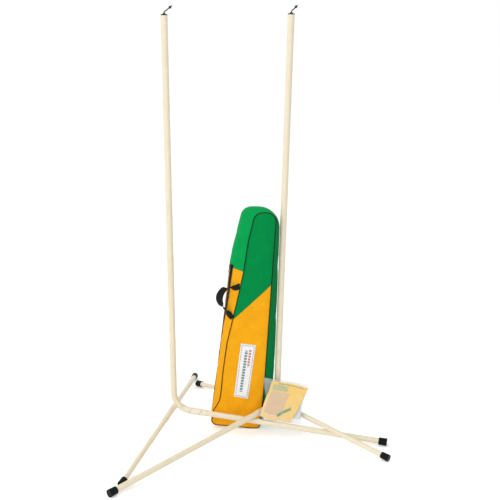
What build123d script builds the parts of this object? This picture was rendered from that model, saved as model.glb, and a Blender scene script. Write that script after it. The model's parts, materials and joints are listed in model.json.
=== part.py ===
"""A pair of freestanding net poles, with their carry bag and the net packed in a clear pouch.

Millimetres, +Z up. The floor is Z = 0 and the origin is the middle of the set's footprint.
Each stand is a T: a pole that turns into a long leg, with a crossbar welded behind the bend.
The right stand straddles the left one's leg, the bag leans on the right pole, and the pouch
rests on the left leg in front of it.
"""

from build123d import *
from math import asin, atan2, cos, degrees, radians, sin
import os

os.makedirs("parts", exist_ok=True)

# ------------------------------------------------------------ tubes and their fits
pole_height = 1800.0  # floor to the rim of the upper pole
joint_height = 1003.0  # floor to the line where the two poles meet
pole_od = 28.0
pole_wall = 1.42
sleeve_od = 25.4
sleeve_wall = 1.6
thin_wall = 1.3  # legs, arms and couplers
fit = 0.08  # radial running clearance of a tube that plugs into another
seat = 0.3  # gap between pieces that only rest on or beside each other
rim_chamfer = 0.4
plug_depth = 60.0  # how far a pole or an arm goes into the next tube
leg_plug = 48.0
leg_od = pole_od - 2 * (pole_wall + fit)
arm_od = sleeve_od - 2 * (sleeve_wall + fit)

# ------------------------------------------------------------ shape of one stand
leg_reach = 943.0  # pole's axis to the end of the leg's foot, in plan
arm_reach = 588.0  # hub to the end of an arm's foot, in plan
arm_sweep = 5.5  # degrees that each arm is swept back from square to the leg
bend_radius = 80.0  # on the tube's centreline
stub_length = 125.0  # from the pole's axis to the end of the bent tube
hub_angle = 40.0  # where the sleeve sits behind the bend, in degrees below level
sleeve_half = 118.0  # hub to each end of the sleeve
sleeve_bend = 150.0
weld_radius = 13.0
weld_depth = 10.0

# ------------------------------------------------------------ rubber feet
foot_length = 36.0
foot_floor = 6.0  # rubber past the tube's end
foot_wall = 3.0
foot_flare = 1.2
foot_flat = 0.7  # worn off the rim where it stands on the floor
foot_rim = 1.5

# ------------------------------------------------------------ pole tops
cap_plate = 3.5
cap_round = 1.2
cap_plug = 22.0
cap_skin = 3.0
boss_radius = 7.0
boss_height = 4.0
boss_taper = 12.0  # degrees
hook_rod = 4.6
hook_tip_round = 1.8
hook_rise = 4.0  # above the boss
hook_arm = 42.0
hook_slant = 52.0  # degrees from the pole's axis
hook_bend = 6.0
bead_radius = 5.8
bead_place = 31.0  # along the slanted arm
collar_radius = 5.0
collar_height = 2.0
left_hook_turn = 0.0
right_hook_turn = -45.0

# ------------------------------------------------------------ where the stands are placed
left_pole_x = -352.75
left_pole_y = 31.9
pole_gap_x = 453.0  # left pole's foot to the right pole's foot
pole_gap_y = 31.0
left_heading = -11.6  # degrees, the way the left leg points
leg_past_foot = 0.0  # the right leg's gap to the left front foot, seen from above
left_lean = (-0.002, -0.006)  # sideways run of the pole for each unit of height
right_lean = (0.031, 0.004)
left_rise = 95.5  # height at which the left leg's axis meets its pole's axis

# ------------------------------------------------------------ tape bands
tape = 0.5
tape_gap = 0.05
wrap_turn = 32.0  # degrees of the bend that the wrap covers
wrap_end = 165.0  # from the pole's axis along the leg
arm_band_place = 262.0
pole_band_height = 270.0
band_width = 30.0
band_slant = 35.0  # degrees that a band's ends are off square

# ------------------------------------------------------------ carry bag, from the right pole's foot
bag_height = 986.0  # of the front and back panels
girth_height = 1001.0
bag_depth = 94.0
bag_forward = 41.0  # front panel, in front of the pole's axis
bag_gap = 1.3
knee_height = 280.0  # below this the bag's right side draws in to its base
panel_base = (-290.0, -75.0)
panel_knee = -48.0
panel_top = (-92.0, -1.0)
panel_rounds = (28.0, 18.0, 40.0, 40.0)  # base left, base right, top left, top right
girth_base = (-294.0, -68.0)
girth_top_left = -160.4
girth_rounds = (30.0, 16.0, 85.0, 90.0)
back_top_left = -172.0
back_rounds = (28.0, 18.0, 75.0, 60.0)
piping = 4.0

# ------------------------------------------------------------ zip
zip_low = 95.0
zip_high = 748.0
zip_tape = 24.0
zip_thick = 1.0
zip_tilt = (5.0, 33.0)  # degrees that the strip faces forward, at its low and high ends
coil_width = 5.0
coil_proud = 2.4
coil_round = 0.9
slider_length = 12.0
slider_wall = 1.5
slider_round = 0.9
slider_end = 1.0  # its gap to the top end of the zip, where it rests
slider_play = 0.3
twist_room = 1.1  # under the slider, for the strip's turn along the bag
lug_thick = 1.2
lug_radius = 2.6
lug_sink = 0.5  # into the slider's roof
pin_radius = 1.0
pin_fit = 0.12
barrel_radius = 2.1
puller_neck = 3.2
puller_width = 8.0
puller_length = 32.0
puller_thick = 1.4
puller_round = 2.8
puller_slot = (4.8, 3.2)

# ------------------------------------------------------------ webbing handle and label
handle_height = 595.0
handle_span = 188.0
handle_reach = 96.0
handle_web = 25.0
handle_thick = 2.0
handle_back = 20.0  # degrees that the handle stands back from the front panel
handle_corner = 48.0
label_width = 64.0
label_length = 252.0
label_thick = 0.8
label_place = (-136.0, 270.0)
label_tilt = -8.0
label_round = 4.0

# ------------------------------------------------------------ clear pouch
pouch_width = 198.0
pouch_tall = 186.0
pouch_seal = 6.0
pouch_round = 12.0
pouch_front = 6.0
pouch_back = 27.0
front_draw = 0.95  # a pillow's flat face, as a share of its rim
back_draw = 0.8
pillow_round = 3.0
film = 0.5
pouch_past = 115.7  # its middle, beyond the place where the right leg crosses the left one
pouch_turn = 5.0  # degrees, away from the leg's line
pouch_lean = 22.0
pouch_forward = 2.0  # the pouch's bottom edge, in front of the leg's top line
pouch_rest = 0.5  # its edge's gap above that line
leaflet_width = 146.0
leaflet_tall = 142.0
leaflet_thick = 1.2
leaflet_tilt = -8.0
net_layers = 5
net_pitch = 5.0
net_layer = 4.4
net_width = 136.0
net_tall = 128.0


def keep(piece, name):
    """Labels a finished piece and writes it."""
    piece.part.label = name
    export_step(piece.part, f"parts/{name}.step")


def tube(start, end, outer, bore):
    """A straight tube with chamfered rims."""
    with BuildPart() as straight:
        with BuildSketch(Plane(origin=start, z_dir=end - start)):
            Circle(outer / 2)
            Circle(bore / 2, mode=Mode.SUBTRACT)
        extrude(amount=(end - start).length)
        ends = straight.faces().filter_by(GeomType.PLANE)
        chamfer([end_face.outer_wire().edge() for end_face in ends], length=rim_chamfer)
    return straight


def bent_rod(points, radius, outer):
    """A rod along two straight runs that a bend joins."""
    with BuildPart() as rod:
        with BuildLine() as route:
            FilletPolyline(*points, radius=radius)
        with BuildSketch(Plane(origin=route.line @ 0, z_dir=route.line % 0)):
            Circle(outer / 2)
        sweep(path=route.line)
    return rod


def bent_tube(points, radius, outer, bore):
    """A tube along two straight runs that a bend joins, with chamfered rims."""
    with BuildPart() as bent:
        with BuildLine() as route:
            FilletPolyline(*points, radius=radius)
        with BuildSketch(Plane(origin=route.line @ 0, z_dir=route.line % 0)):
            Circle(outer / 2)
            Circle(bore / 2, mode=Mode.SUBTRACT)
        sweep(path=route.line)
        ends = bent.faces().filter_by(GeomType.PLANE)
        chamfer([end_face.outer_wire().edge() for end_face in ends], length=rim_chamfer)
    return bent


def ferrule(end, back, tube_od):
    """A flared rubber foot on a tube that lies in the direction back, cut flat at the floor."""
    mouth = tube_od / 2 + foot_wall
    with BuildPart() as foot:
        with BuildSketch(Plane(origin=end, z_dir=back)):
            Circle(mouth + foot_flare)
        extrude(amount=foot_length, taper=degrees(atan2(foot_flare, foot_length)))
        fillet(foot.edges().filter_by(GeomType.CIRCLE), radius=foot_rim)
        with BuildSketch(Plane(origin=end + back * foot_floor, z_dir=back)):
            Circle(tube_od / 2)
        extrude(amount=foot_length, mode=Mode.SUBTRACT)
        split(bisect_by=Plane.XY, keep=Keep.TOP)
    return foot


def band(middle, way, tube_od):
    """A band of tape round a tube, with both ends on the slant of its winding."""
    half = Vector(way) * (band_width / 2)
    slant = Vector(way).rotate(Axis((0, 0, 0), way.cross(Vector(0.3, 1, 0.2))), band_slant)
    with BuildPart() as wound:
        with BuildSketch(Plane(origin=middle - half * 3, z_dir=way)):
            Circle(tube_od / 2 + tape_gap + tape)
            Circle(tube_od / 2 + tape_gap, mode=Mode.SUBTRACT)
        extrude(amount=band_width * 3)
        split(bisect_by=Plane(origin=middle - half, z_dir=slant), keep=Keep.TOP)
        split(bisect_by=Plane(origin=middle + half, z_dir=slant), keep=Keep.BOTTOM)
    return wound


def foot_height(tube_od):
    """Height of a foot's end centre, so that its worn rim stands on the floor."""
    return tube_od / 2 + foot_wall + foot_flare - foot_flat


class Stand:
    """The axes and joints of one stand, worked out from its place on the floor."""

    def __init__(self, x, y, heading, lean, rise):
        self.foot = Vector(x, y, 0)
        self.heading = heading
        self.up = Vector(lean[0], lean[1], 1).normalized()
        self.corner = self.at_height(rise)
        self.joint = self.at_height(joint_height)
        self.top = self.at_height(pole_height)
        self.ahead = Vector(cos(radians(heading)), sin(radians(heading)), 0)
        self.leg_end = self.foot + self.ahead * leg_reach + Vector(0, 0, foot_height(leg_od))
        self.leg_way = (self.leg_end - self.corner).normalized()
        self.stub_end = self.corner + self.leg_way * stub_length
        across = (self.leg_way - self.up * self.leg_way.dot(self.up)).normalized()
        self.bend = Plane(origin=self.corner, x_dir=across, z_dir=across.cross(self.up))
        self.droop = atan2(-self.leg_way.dot(self.up), self.leg_way.dot(across))
        centre_rise = bend_radius * (1 - sin(self.droop)) / cos(self.droop)
        centre = self.corner + across * bend_radius + self.up * centre_rise
        self.weld_way = across * -cos(radians(hub_angle)) - self.up * sin(radians(hub_angle))
        self.bend_back = centre + self.weld_way * (bend_radius + pole_od / 2)
        bow = 0.0
        for _ in range(4):
            self.hub = self.bend_back + self.weld_way * (sleeve_od / 2 + seat - bow)
            self.arm_ends = [self.arm_end(side) for side in (1, -1)]
            self.arm_ways = [(end - self.hub).normalized() for end in self.arm_ends]
            inward = (self.arm_ways[0] + self.arm_ways[1]).normalized()
            half_turn = radians(90 - self.arm_ways[0].get_angle(inward))
            bow = sleeve_bend * (1 / cos(half_turn) - 1) * inward.dot(self.weld_way)

    def at_height(self, height):
        """The point of the pole's axis at a height above the floor."""
        return self.foot + self.up * (height / self.up.Z)

    def arm_end(self, side):
        """The end of an arm's foot, on the side given as 1 or -1."""
        turn = radians(self.heading + 180 - side * (90 - arm_sweep))
        out = Vector(cos(turn), sin(turn), 0) * arm_reach
        return Vector(self.hub.X, self.hub.Y, foot_height(arm_od)) + out


def rise_over(low_point, low_way, high_point, high_way):
    """How far one straight axis passes above another."""
    across = low_way.cross(high_way).normalized()
    if across.Z < 0:
        across = across * -1
    return (high_point - low_point).dot(across)


left = Stand(left_pole_x, left_pole_y, left_heading, left_lean, left_rise)

# The right leg passes just outside the left stand's front foot.
right_x = left_pole_x + pole_gap_x
right_y = left_pole_y + pole_gap_y
to_foot = left.arm_ends[1] - Vector(right_x, right_y, 0)
beside = (arm_od + leg_od) / 2 + foot_wall + foot_flare + leg_past_foot
past_turn = asin(beside / (to_foot.X**2 + to_foot.Y**2) ** 0.5)
right_heading = degrees(atan2(to_foot.Y, to_foot.X) + past_turn)

# The right stand rests on the left one's leg, with its own leg or its front arm.
right_rise = left_rise
for _ in range(40):
    right = Stand(right_x, right_y, right_heading, right_lean, right_rise)
    leg_over = rise_over(left.leg_end, left.leg_way, right.leg_end, right.leg_way)
    arm_over = rise_over(left.leg_end, left.leg_way, right.arm_ends[0], right.arm_ways[0])
    leg_short = leg_od + seat - leg_over
    arm_short = (leg_od + arm_od) / 2 + seat - arm_over
    right_rise += max(leg_short, arm_short)
between = right.foot - left.foot
leg_crossing = between.cross(right.ahead).Z / left.ahead.cross(right.ahead).Z


def build_stand(stand, side, arm_names, hook_turn):
    """Makes the tubes, feet, weld, cap and hook of one stand."""
    pole_bore = pole_od - 2 * pole_wall
    lower_points = [stand.joint, stand.corner, stand.stub_end]
    keep(bent_tube(lower_points, bend_radius, pole_od, pole_bore), f"{side}_lower_pole")
    keep(tube(stand.joint, stand.top, pole_od, pole_bore), f"{side}_upper_pole")
    plug = stand.up * plug_depth
    coupler = tube(stand.joint - plug, stand.joint + plug, leg_od, leg_od - 2 * thin_wall)
    keep(coupler, f"{side}_pole_coupler")

    leg_start = stand.stub_end - stand.leg_way * leg_plug
    leg_stop = stand.leg_end - stand.leg_way * foot_floor
    keep(tube(leg_start, leg_stop, leg_od, leg_od - 2 * thin_wall), f"{side}_leg")
    keep(ferrule(stand.leg_end, stand.leg_way * -1, leg_od), f"{side}_leg_foot")

    ends = [stand.hub + way * sleeve_half for way in stand.arm_ways]
    sleeve_points = [ends[0], stand.hub, ends[1]]
    sleeve_bore = sleeve_od - 2 * sleeve_wall
    sleeve = bent_tube(sleeve_points, sleeve_bend, sleeve_od, sleeve_bore)
    keep(sleeve, f"{side}_crossbar_sleeve")
    for name, start, end, way in zip(arm_names, ends, stand.arm_ends, stand.arm_ways):
        arm_start = start - way * plug_depth
        arm_stop = end - way * foot_floor
        keep(tube(arm_start, arm_stop, arm_od, arm_od - 2 * thin_wall), f"{side}_{name}_arm")
        keep(ferrule(end, way * -1, arm_od), f"{side}_{name}_foot")

    bend_core = bent_rod(lower_points, bend_radius, pole_od)
    sleeve_core = bent_rod(sleeve_points, sleeve_bend, sleeve_od)
    with BuildPart() as weld:
        with BuildSketch(Plane(origin=stand.bend_back, z_dir=stand.weld_way)):
            Circle(weld_radius)
        extrude(amount=weld_depth / 2, both=True)
        add(bend_core.part, mode=Mode.SUBTRACT)
        add(sleeve_core.part, mode=Mode.SUBTRACT)
    keep(weld, f"{side}_hub_weld")

    turn = radians(hook_turn)
    hook_side = Vector(cos(turn), sin(turn), 0)
    hook_side = (hook_side - stand.up * hook_side.dot(stand.up)).normalized()
    shank_radius = hook_rod / 2
    plug_radius = pole_bore / 2 - fit
    top = Plane(origin=stand.top, x_dir=hook_side, z_dir=stand.up)
    with BuildPart(top) as cap:
        Cylinder(pole_od / 2, cap_plate, align=(Align.CENTER, Align.CENTER, Align.MIN))
        fillet(cap.edges().group_by(Axis(stand.top, stand.up))[-1], radius=cap_round)
        with BuildSketch(top.offset(cap_plate)):
            Circle(boss_radius)
        extrude(amount=boss_height, taper=boss_taper)
        with BuildSketch(top):
            Circle(plug_radius)
        extrude(amount=-cap_plug)
        with BuildSketch(top):
            Circle(plug_radius - cap_skin)
        extrude(amount=-cap_plug, mode=Mode.SUBTRACT)
        with BuildSketch(top.offset(cap_plate + boss_height)):
            Circle(shank_radius + fit)
        extrude(amount=-cap_plate - boss_height, mode=Mode.SUBTRACT)
    keep(cap, f"{side}_pole_cap")

    shank_end = stand.top - stand.up * (fit + seat)
    elbow = stand.top + stand.up * (cap_plate + boss_height + hook_rise)
    slant = hook_side * sin(radians(hook_slant)) + stand.up * cos(radians(hook_slant))
    with BuildPart() as hook:
        with BuildLine() as rod:
            FilletPolyline(shank_end, elbow, elbow + slant * hook_arm, radius=hook_bend)
        with BuildSketch(Plane(origin=rod.line @ 0, z_dir=rod.line % 0)):
            Circle(shank_radius)
        sweep(path=rod.line)
        tip = hook.faces().sort_by(Axis(stand.top, hook_side))[-1]
        fillet(tip.edges(), radius=hook_tip_round)
        with BuildSketch(Plane(origin=shank_end, z_dir=stand.up)):
            Circle(collar_radius)
        extrude(amount=-collar_height)
        with Locations(elbow + slant * bead_place):
            Sphere(bead_radius)
    keep(hook, f"{side}_hook")


build_stand(left, "left", ("rear", "front"), left_hook_turn)
build_stand(right, "right", ("front", "rear"), right_hook_turn)

# ------------------------------------------------------------ tape
wrap_start_angle = 270 - degrees(left.droop) - wrap_turn
wrap_middle = (bend_radius, bend_radius * (1 - sin(left.droop)) / cos(left.droop))
step_point = left.bend.to_local_coords(left.stub_end + left.leg_way * (tape + seat))
with BuildPart() as left_leg_wrap:
    with BuildLine(left.bend) as wrap_route:
        turned = CenterArc(wrap_middle, bend_radius, wrap_start_angle, wrap_turn)
        Line(turned @ 1, (step_point.X, step_point.Y))
    with BuildSketch(Plane(origin=wrap_route.line @ 0, z_dir=wrap_route.line % 0)):
        Circle(pole_od / 2 + tape_gap + tape)
        Circle(pole_od / 2 + tape_gap, mode=Mode.SUBTRACT)
    sweep(path=wrap_route.line)
    with BuildSketch(Plane(origin=left.stub_end + left.leg_way * seat, z_dir=left.leg_way)):
        Circle(pole_od / 2 + tape_gap + tape)
        Circle(leg_od / 2 + seat, mode=Mode.SUBTRACT)
    extrude(amount=tape)
    with BuildSketch(Plane(origin=left.stub_end + left.leg_way * seat, z_dir=left.leg_way)):
        Circle(leg_od / 2 + seat + tape)
        Circle(leg_od / 2 + seat, mode=Mode.SUBTRACT)
    extrude(amount=wrap_end - stub_length)
keep(left_leg_wrap, "left_leg_wrap")

left_arm_band = band(left.hub + left.arm_ways[1] * arm_band_place, left.arm_ways[1], arm_od)
keep(left_arm_band, "left_arm_band")
right_pole_band = band(right.at_height(pole_band_height), right.up, pole_od)
keep(right_pole_band, "right_pole_band")

# ------------------------------------------------------------ carry bag
front_y = right.foot.Y - bag_forward
back_y = front_y + bag_depth
girth_y = (front_y + back_y) / 2


def upright(y):
    """An upright plane across the bag, measured from the right pole's foot."""
    return Plane(origin=(right.foot.X, y, 0), x_dir=(1, 0, 0), z_dir=(0, -1, 0))


def pole_side(height):
    """The right pole's near side at a height, less the gap that the bag keeps."""
    lean = right_lean[0] * height
    return lean - pole_od / 2 * (1 + right_lean[0] ** 2) ** 0.5 - bag_gap


girth_knee = pole_side(knee_height)
girth_top_right = pole_side(girth_height)


def bag_outline(base, knee, top, rounds, tall=bag_height, inset=0.0):
    """The bag's outline: straight left side, right side drawn in below the knee."""
    base_left = (base[0] + inset, inset)
    base_right = (base[1] - inset, inset)
    knee_right = (knee - inset, knee_height)
    top_right = (top[1] - inset, tall - inset)
    top_left = (top[0] + inset, tall - inset)
    side = Vector(*knee_right) - Vector(*top_right)
    with BuildSketch(mode=Mode.PRIVATE) as outline:
        with BuildLine():
            Line(base_right, base_left)
            Line(base_left, top_left)
            Line(top_left, top_right)
            Line(top_right, knee_right)
            TangentArc(knee_right, base_right, tangent=side)
        make_face()
        for corner, radius in zip((base_left, base_right, top_left, top_right), rounds):
            nearest = outline.vertices().sort_by_distance((*corner, 0))[0]
            fillet(nearest, radius=radius - inset)
    return outline.sketch


front_panel = (panel_base, panel_knee, panel_top, panel_rounds)
back_panel = (panel_base, panel_knee, (back_top_left, panel_top[1]), back_rounds)
girth_top = (girth_top_left, girth_top_right)
with BuildPart() as bag_body:
    with BuildSketch(upright(front_y)):
        add(bag_outline(*front_panel))
    with BuildSketch(upright(girth_y)):
        add(bag_outline(girth_base, girth_knee, girth_top, girth_rounds, girth_height))
    with BuildSketch(upright(back_y)):
        add(bag_outline(*back_panel))
    loft()
keep(bag_body, "bag_body")

piping_away = piping / 2 + seat
front_piping = ("front", front_y - piping_away, front_panel)
back_piping = ("back", back_y + piping_away, back_panel)
for name, piping_y, sewn_panel in (front_piping, back_piping):
    piping_outline = bag_outline(*sewn_panel, inset=piping / 2)
    piping_path = upright(piping_y).from_local_coords(piping_outline.face().outer_wire())
    with BuildPart() as bag_piping:
        with BuildSketch(Plane(origin=piping_path @ 0, z_dir=piping_path % 0)):
            Circle(piping / 2)
        sweep(path=piping_path)
    keep(bag_piping, f"bag_{name}_piping")

# ------------------------------------------------------------ zip, along the bag's left side
side_run = Vector(girth_top_left - girth_base[0], 0, girth_height).normalized()
side_foot = Vector(right.foot.X + girth_base[0], girth_y, 0)
zip_length = (zip_high - zip_low) / side_run.Z


def zip_section(along, tilt):
    """A plane across the zip, some way up it, that faces forward by a tilt in degrees."""
    level_out = Vector(-side_run.Z, 0, side_run.X)
    across = Vector(0, 1, 0).rotate(Axis((0, 0, 0), side_run), tilt)
    out = side_run.cross(across)
    if out.dot(level_out) < 0:
        out = out * -1
    start = side_foot + side_run * (zip_low / side_run.Z + along) + out * seat
    return Plane(origin=start, x_dir=across, z_dir=side_run)


zip_plane = zip_section(0, sum(zip_tilt) / 2)
zip_start = zip_plane.origin
across_bag = zip_plane.x_dir
side_out = zip_plane.y_dir
with BuildPart() as bag_zip:
    for along, tilt in ((0, zip_tilt[0]), (zip_length, zip_tilt[1])):
        with BuildSketch(zip_section(along, tilt)):
            Rectangle(zip_tape, zip_thick, align=(Align.CENTER, Align.MIN))
    loft()
    with BuildSketch(zip_plane):
        with Locations((0, zip_thick / 2)):
            coil_height = zip_thick / 2 + coil_proud
            Rectangle(coil_width, coil_height, align=(Align.CENTER, Align.MIN))
    extrude(amount=zip_length)
    crest = bag_zip.faces().sort_by(Axis(zip_start, side_out))[-1]
    fillet(crest.edges().filter_by(Axis(zip_start, side_run)), radius=coil_round)
keep(bag_zip, "bag_zip")

slider_channel = coil_width + 2 * slider_play
slider_under = zip_thick + slider_play + twist_room
slider_roof = zip_thick + coil_proud + slider_play
slider_top = slider_roof + slider_wall
pin_height = slider_top + barrel_radius + slider_play
slider_travel = zip_length - slider_length - slider_end
slider_plane = zip_plane.offset(slider_travel)
slider_start = slider_plane.origin
pin_centre = slider_start + side_run * (slider_length / 2) + side_out * pin_height
pin_plane = Plane(origin=pin_centre, x_dir=side_run, z_dir=across_bag * -1)
lug_inside = puller_neck / 2 + slider_play
with BuildPart() as zip_slider:
    with BuildSketch(slider_plane):
        with Locations((0, slider_under)):
            outer_width = slider_channel + 2 * slider_wall
            Rectangle(outer_width, slider_top - slider_under, align=(Align.CENTER, Align.MIN))
            channel_height = slider_roof - slider_under
            channel_align = (Align.CENTER, Align.MIN)
            Rectangle(slider_channel, channel_height, align=channel_align, mode=Mode.SUBTRACT)
    extrude(amount=slider_length)
    corners = zip_slider.faces().sort_by(Axis(slider_start, side_out))[-1].edges()
    fillet(corners, radius=slider_round)
    with BuildSketch(pin_plane):
        Circle(lug_radius)
        lug_align = (Align.CENTER, Align.MAX)
        Rectangle(2 * lug_radius, pin_height - slider_top + lug_sink, align=lug_align)
    extrude(amount=lug_inside + lug_thick, both=True)
    with BuildSketch(pin_plane):
        Circle(lug_radius)
        Rectangle(2 * lug_radius, pin_height - slider_top, align=lug_align)
    extrude(amount=lug_inside, both=True, mode=Mode.SUBTRACT)
    with BuildSketch(pin_plane):
        Circle(pin_radius)
    extrude(amount=lug_inside + lug_thick, both=True)
keep(zip_slider, "zip_slider")

with BuildPart() as zip_puller:
    with BuildSketch(Plane(origin=pin_centre, x_dir=across_bag, z_dir=side_out)):
        Rectangle(puller_neck, puller_length / 2, align=(Align.CENTER, Align.MIN))
        plate_start = lug_radius + 2 * slider_play
        with Locations((0, (plate_start + puller_length) / 2)):
            RectangleRounded(puller_width, puller_length - plate_start, puller_round)
        with Locations((0, puller_length - puller_width)):
            SlotCenterToCenter(*puller_slot, rotation=90, mode=Mode.SUBTRACT)
    extrude(amount=puller_thick / 2, both=True)
    with BuildSketch(pin_plane):
        Circle(barrel_radius)
    extrude(amount=puller_neck / 2, both=True)
    with BuildSketch(pin_plane):
        Circle(pin_radius + pin_fit)
    extrude(amount=puller_neck, both=True, mode=Mode.SUBTRACT)
keep(zip_puller, "zip_puller")

# ------------------------------------------------------------ webbing handle and label
edge_run = Vector(panel_top[0] - panel_base[0], 0, bag_height).normalized()
edge_out = Vector(-edge_run.Z, 0, edge_run.X)
edge_foot = Vector(right.foot.X + panel_base[0], front_y - piping_away, 0)
handle_root = edge_foot + edge_run * (handle_height / edge_run.Z) + edge_out * seat
back_turn = radians(handle_back)
handle_out = edge_out * cos(back_turn) + Vector(0, sin(back_turn), 0)
handle_plane = Plane(origin=handle_root, x_dir=handle_out, z_dir=handle_out.cross(edge_run))
handle_half = (handle_span - handle_web) / 2
handle_run = handle_reach - handle_web / 2
with BuildPart() as bag_handle:
    with BuildSketch(handle_plane):
        with BuildLine() as webbing:
            corners = [(0, -handle_half), (handle_run, -handle_half), (handle_run, handle_half)]
            turn_radius = handle_corner - handle_web / 2
            FilletPolyline(*corners, (0, handle_half), radius=turn_radius)
        trace(webbing.line, line_width=handle_web)
    extrude(amount=handle_thick / 2, both=True)
keep(bag_handle, "bag_handle")

with BuildPart() as bag_label:
    with BuildSketch(upright(front_y - seat)):
        with Locations(label_place):
            RectangleRounded(label_width, label_length, label_round, rotation=label_tilt)
    extrude(amount=label_thick)
keep(bag_label, "bag_label")

# ------------------------------------------------------------ clear pouch on the left leg
leg_up = (Vector(0, 0, 1) - left.leg_way * left.leg_way.Z).normalized()
pouch_x = left.leg_way.rotate(Axis((0, 0, 0), leg_up), pouch_turn)
pouch_away = leg_up.cross(pouch_x)
lean = radians(pouch_lean)
pouch_up = leg_up * cos(lean) + pouch_away * sin(lean)
pouch_along = leg_crossing + pouch_past
leg_crown = left.corner + left.leg_way * pouch_along + leg_up * (leg_od / 2 + pouch_rest)
pouch_base = leg_crown - pouch_away * pouch_forward
pouch_middle = pouch_base + pouch_up * (pouch_tall / 2)
pouch_plane = Plane(origin=pouch_middle, x_dir=pouch_x, z_dir=pouch_x.cross(pouch_up))
pillow_width = pouch_width - 2 * pouch_seal
pillow_tall = pouch_tall - 2 * pouch_seal


def pillow(depth, draw, side, inset=0.0):
    """A pillow that stands out of the pouch's plane, on the side given as 1 or -1."""
    with BuildPart() as form:
        with BuildSketch(pouch_plane):
            rim = (pillow_width - 2 * inset, pillow_tall - 2 * inset)
            RectangleRounded(*rim, pouch_round - inset)
        with BuildSketch(pouch_plane.offset(side * (depth - inset))):
            face = (pillow_width * draw - 2 * inset, pillow_tall * draw - 2 * inset)
            RectangleRounded(*face, pouch_round - inset)
        loft()
        flat = form.faces().sort_by(Axis(pouch_middle, pouch_plane.z_dir * side))[-1]
        fillet(flat.edges(), radius=pillow_round - inset)
    return form


def film_half(depth, draw, side):
    """One formed film of the pouch, with its sealed rim."""
    with BuildPart() as half:
        add(pillow(depth, draw, side).part)
        with BuildSketch(pouch_plane):
            RectangleRounded(pouch_width, pouch_tall, pouch_round)
        extrude(amount=side * film)
        add(pillow(depth, draw, side, inset=film).part, mode=Mode.SUBTRACT)
    return half


keep(film_half(pouch_front, front_draw, 1), "pouch_front_film")
keep(film_half(pouch_back, back_draw, -1), "pouch_back_film")

with BuildPart() as pouch_leaflet:
    with BuildSketch(pouch_plane.offset(pouch_front - film - seat)):
        Rectangle(leaflet_width, leaflet_tall, rotation=leaflet_tilt)
    extrude(amount=-leaflet_thick)
keep(pouch_leaflet, "pouch_leaflet")

fold_reach = (net_width - net_pitch - net_layer) / 2
net_back = pouch_back - film - seat - net_layer / 2
net_plane = Plane(origin=pouch_middle, x_dir=pouch_x, z_dir=pouch_up)
with BuildPart() as folded_net:
    with BuildSketch(net_plane.offset(-net_tall / 2)):
        with BuildLine() as folds:
            for layer in range(net_layers):
                level = net_back - layer * net_pitch
                side = 1 if layer % 2 == 0 else -1
                Line((-side * fold_reach, level), (side * fold_reach, level))
                if layer < net_layers - 1:
                    turn_start = (side * fold_reach, level)
                    turn_middle = (side * (fold_reach + net_pitch / 2), level - net_pitch / 2)
                    turn_end = (side * fold_reach, level - net_pitch)
                    ThreePointArc(turn_start, turn_middle, turn_end)
        trace(folds.line, line_width=net_layer)
    extrude(amount=net_tall)
keep(folded_net, "folded_net")

print("right leg's height at its pole", round(right_rise, 2), "hubs", left.hub, right.hub)
print("leg over leg", round(leg_over, 3), "arm over leg", round(arm_over, 3))
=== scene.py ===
# %% [markdown]
# # A net pole set, dressed for its portrait
#
# The imported CAD model is the frame: two stands, a carry bag and a clear pouch, in metres, with the floor
# at Z = 0. The tubes, feet, caps, hooks, tape bands, zip slider and puller keep their CAD shapes and get
# materials. Everything else made of fabric, film, paper, tape or yarn is built again here, because a solid
# from a CAD program has no folds.

# %% Load the frame
import json
import math

import bmesh
import bpy
import numpy as np
from mathutils import Matrix, Vector


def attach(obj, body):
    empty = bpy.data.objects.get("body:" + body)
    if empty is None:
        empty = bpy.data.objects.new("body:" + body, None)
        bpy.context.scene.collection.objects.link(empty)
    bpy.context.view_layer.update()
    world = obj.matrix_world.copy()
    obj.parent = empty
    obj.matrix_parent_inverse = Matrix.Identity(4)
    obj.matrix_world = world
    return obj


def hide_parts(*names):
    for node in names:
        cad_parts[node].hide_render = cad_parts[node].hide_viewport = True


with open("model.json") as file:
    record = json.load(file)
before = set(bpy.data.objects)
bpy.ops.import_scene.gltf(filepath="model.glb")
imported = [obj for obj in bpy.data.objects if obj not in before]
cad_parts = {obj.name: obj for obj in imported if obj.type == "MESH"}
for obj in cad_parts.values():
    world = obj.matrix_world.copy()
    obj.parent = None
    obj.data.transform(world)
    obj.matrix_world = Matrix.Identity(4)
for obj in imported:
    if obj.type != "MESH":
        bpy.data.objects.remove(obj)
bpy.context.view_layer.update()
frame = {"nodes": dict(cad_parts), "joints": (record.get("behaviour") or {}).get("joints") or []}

nodes = frame["nodes"]
joints = {joint["name"]: joint for joint in frame["joints"]}

# %% [markdown]
# ## Stage, lights and camera
#
# The object stands on pale ground under broad, soft light, so that a colour renders close to
# the way it is written. A bright world gives most of the light, and three large area lamps add
# a key from the left, a low fill and a touch from above, so the shadow stays soft. The world is
# a little brighter on the left than on the right, as in a room with a window wall, so that
# round and folded forms read. The backdrop is the world itself: rays from the camera, mirror
# rays and rays through clear film see white, and all others see the light.


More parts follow.
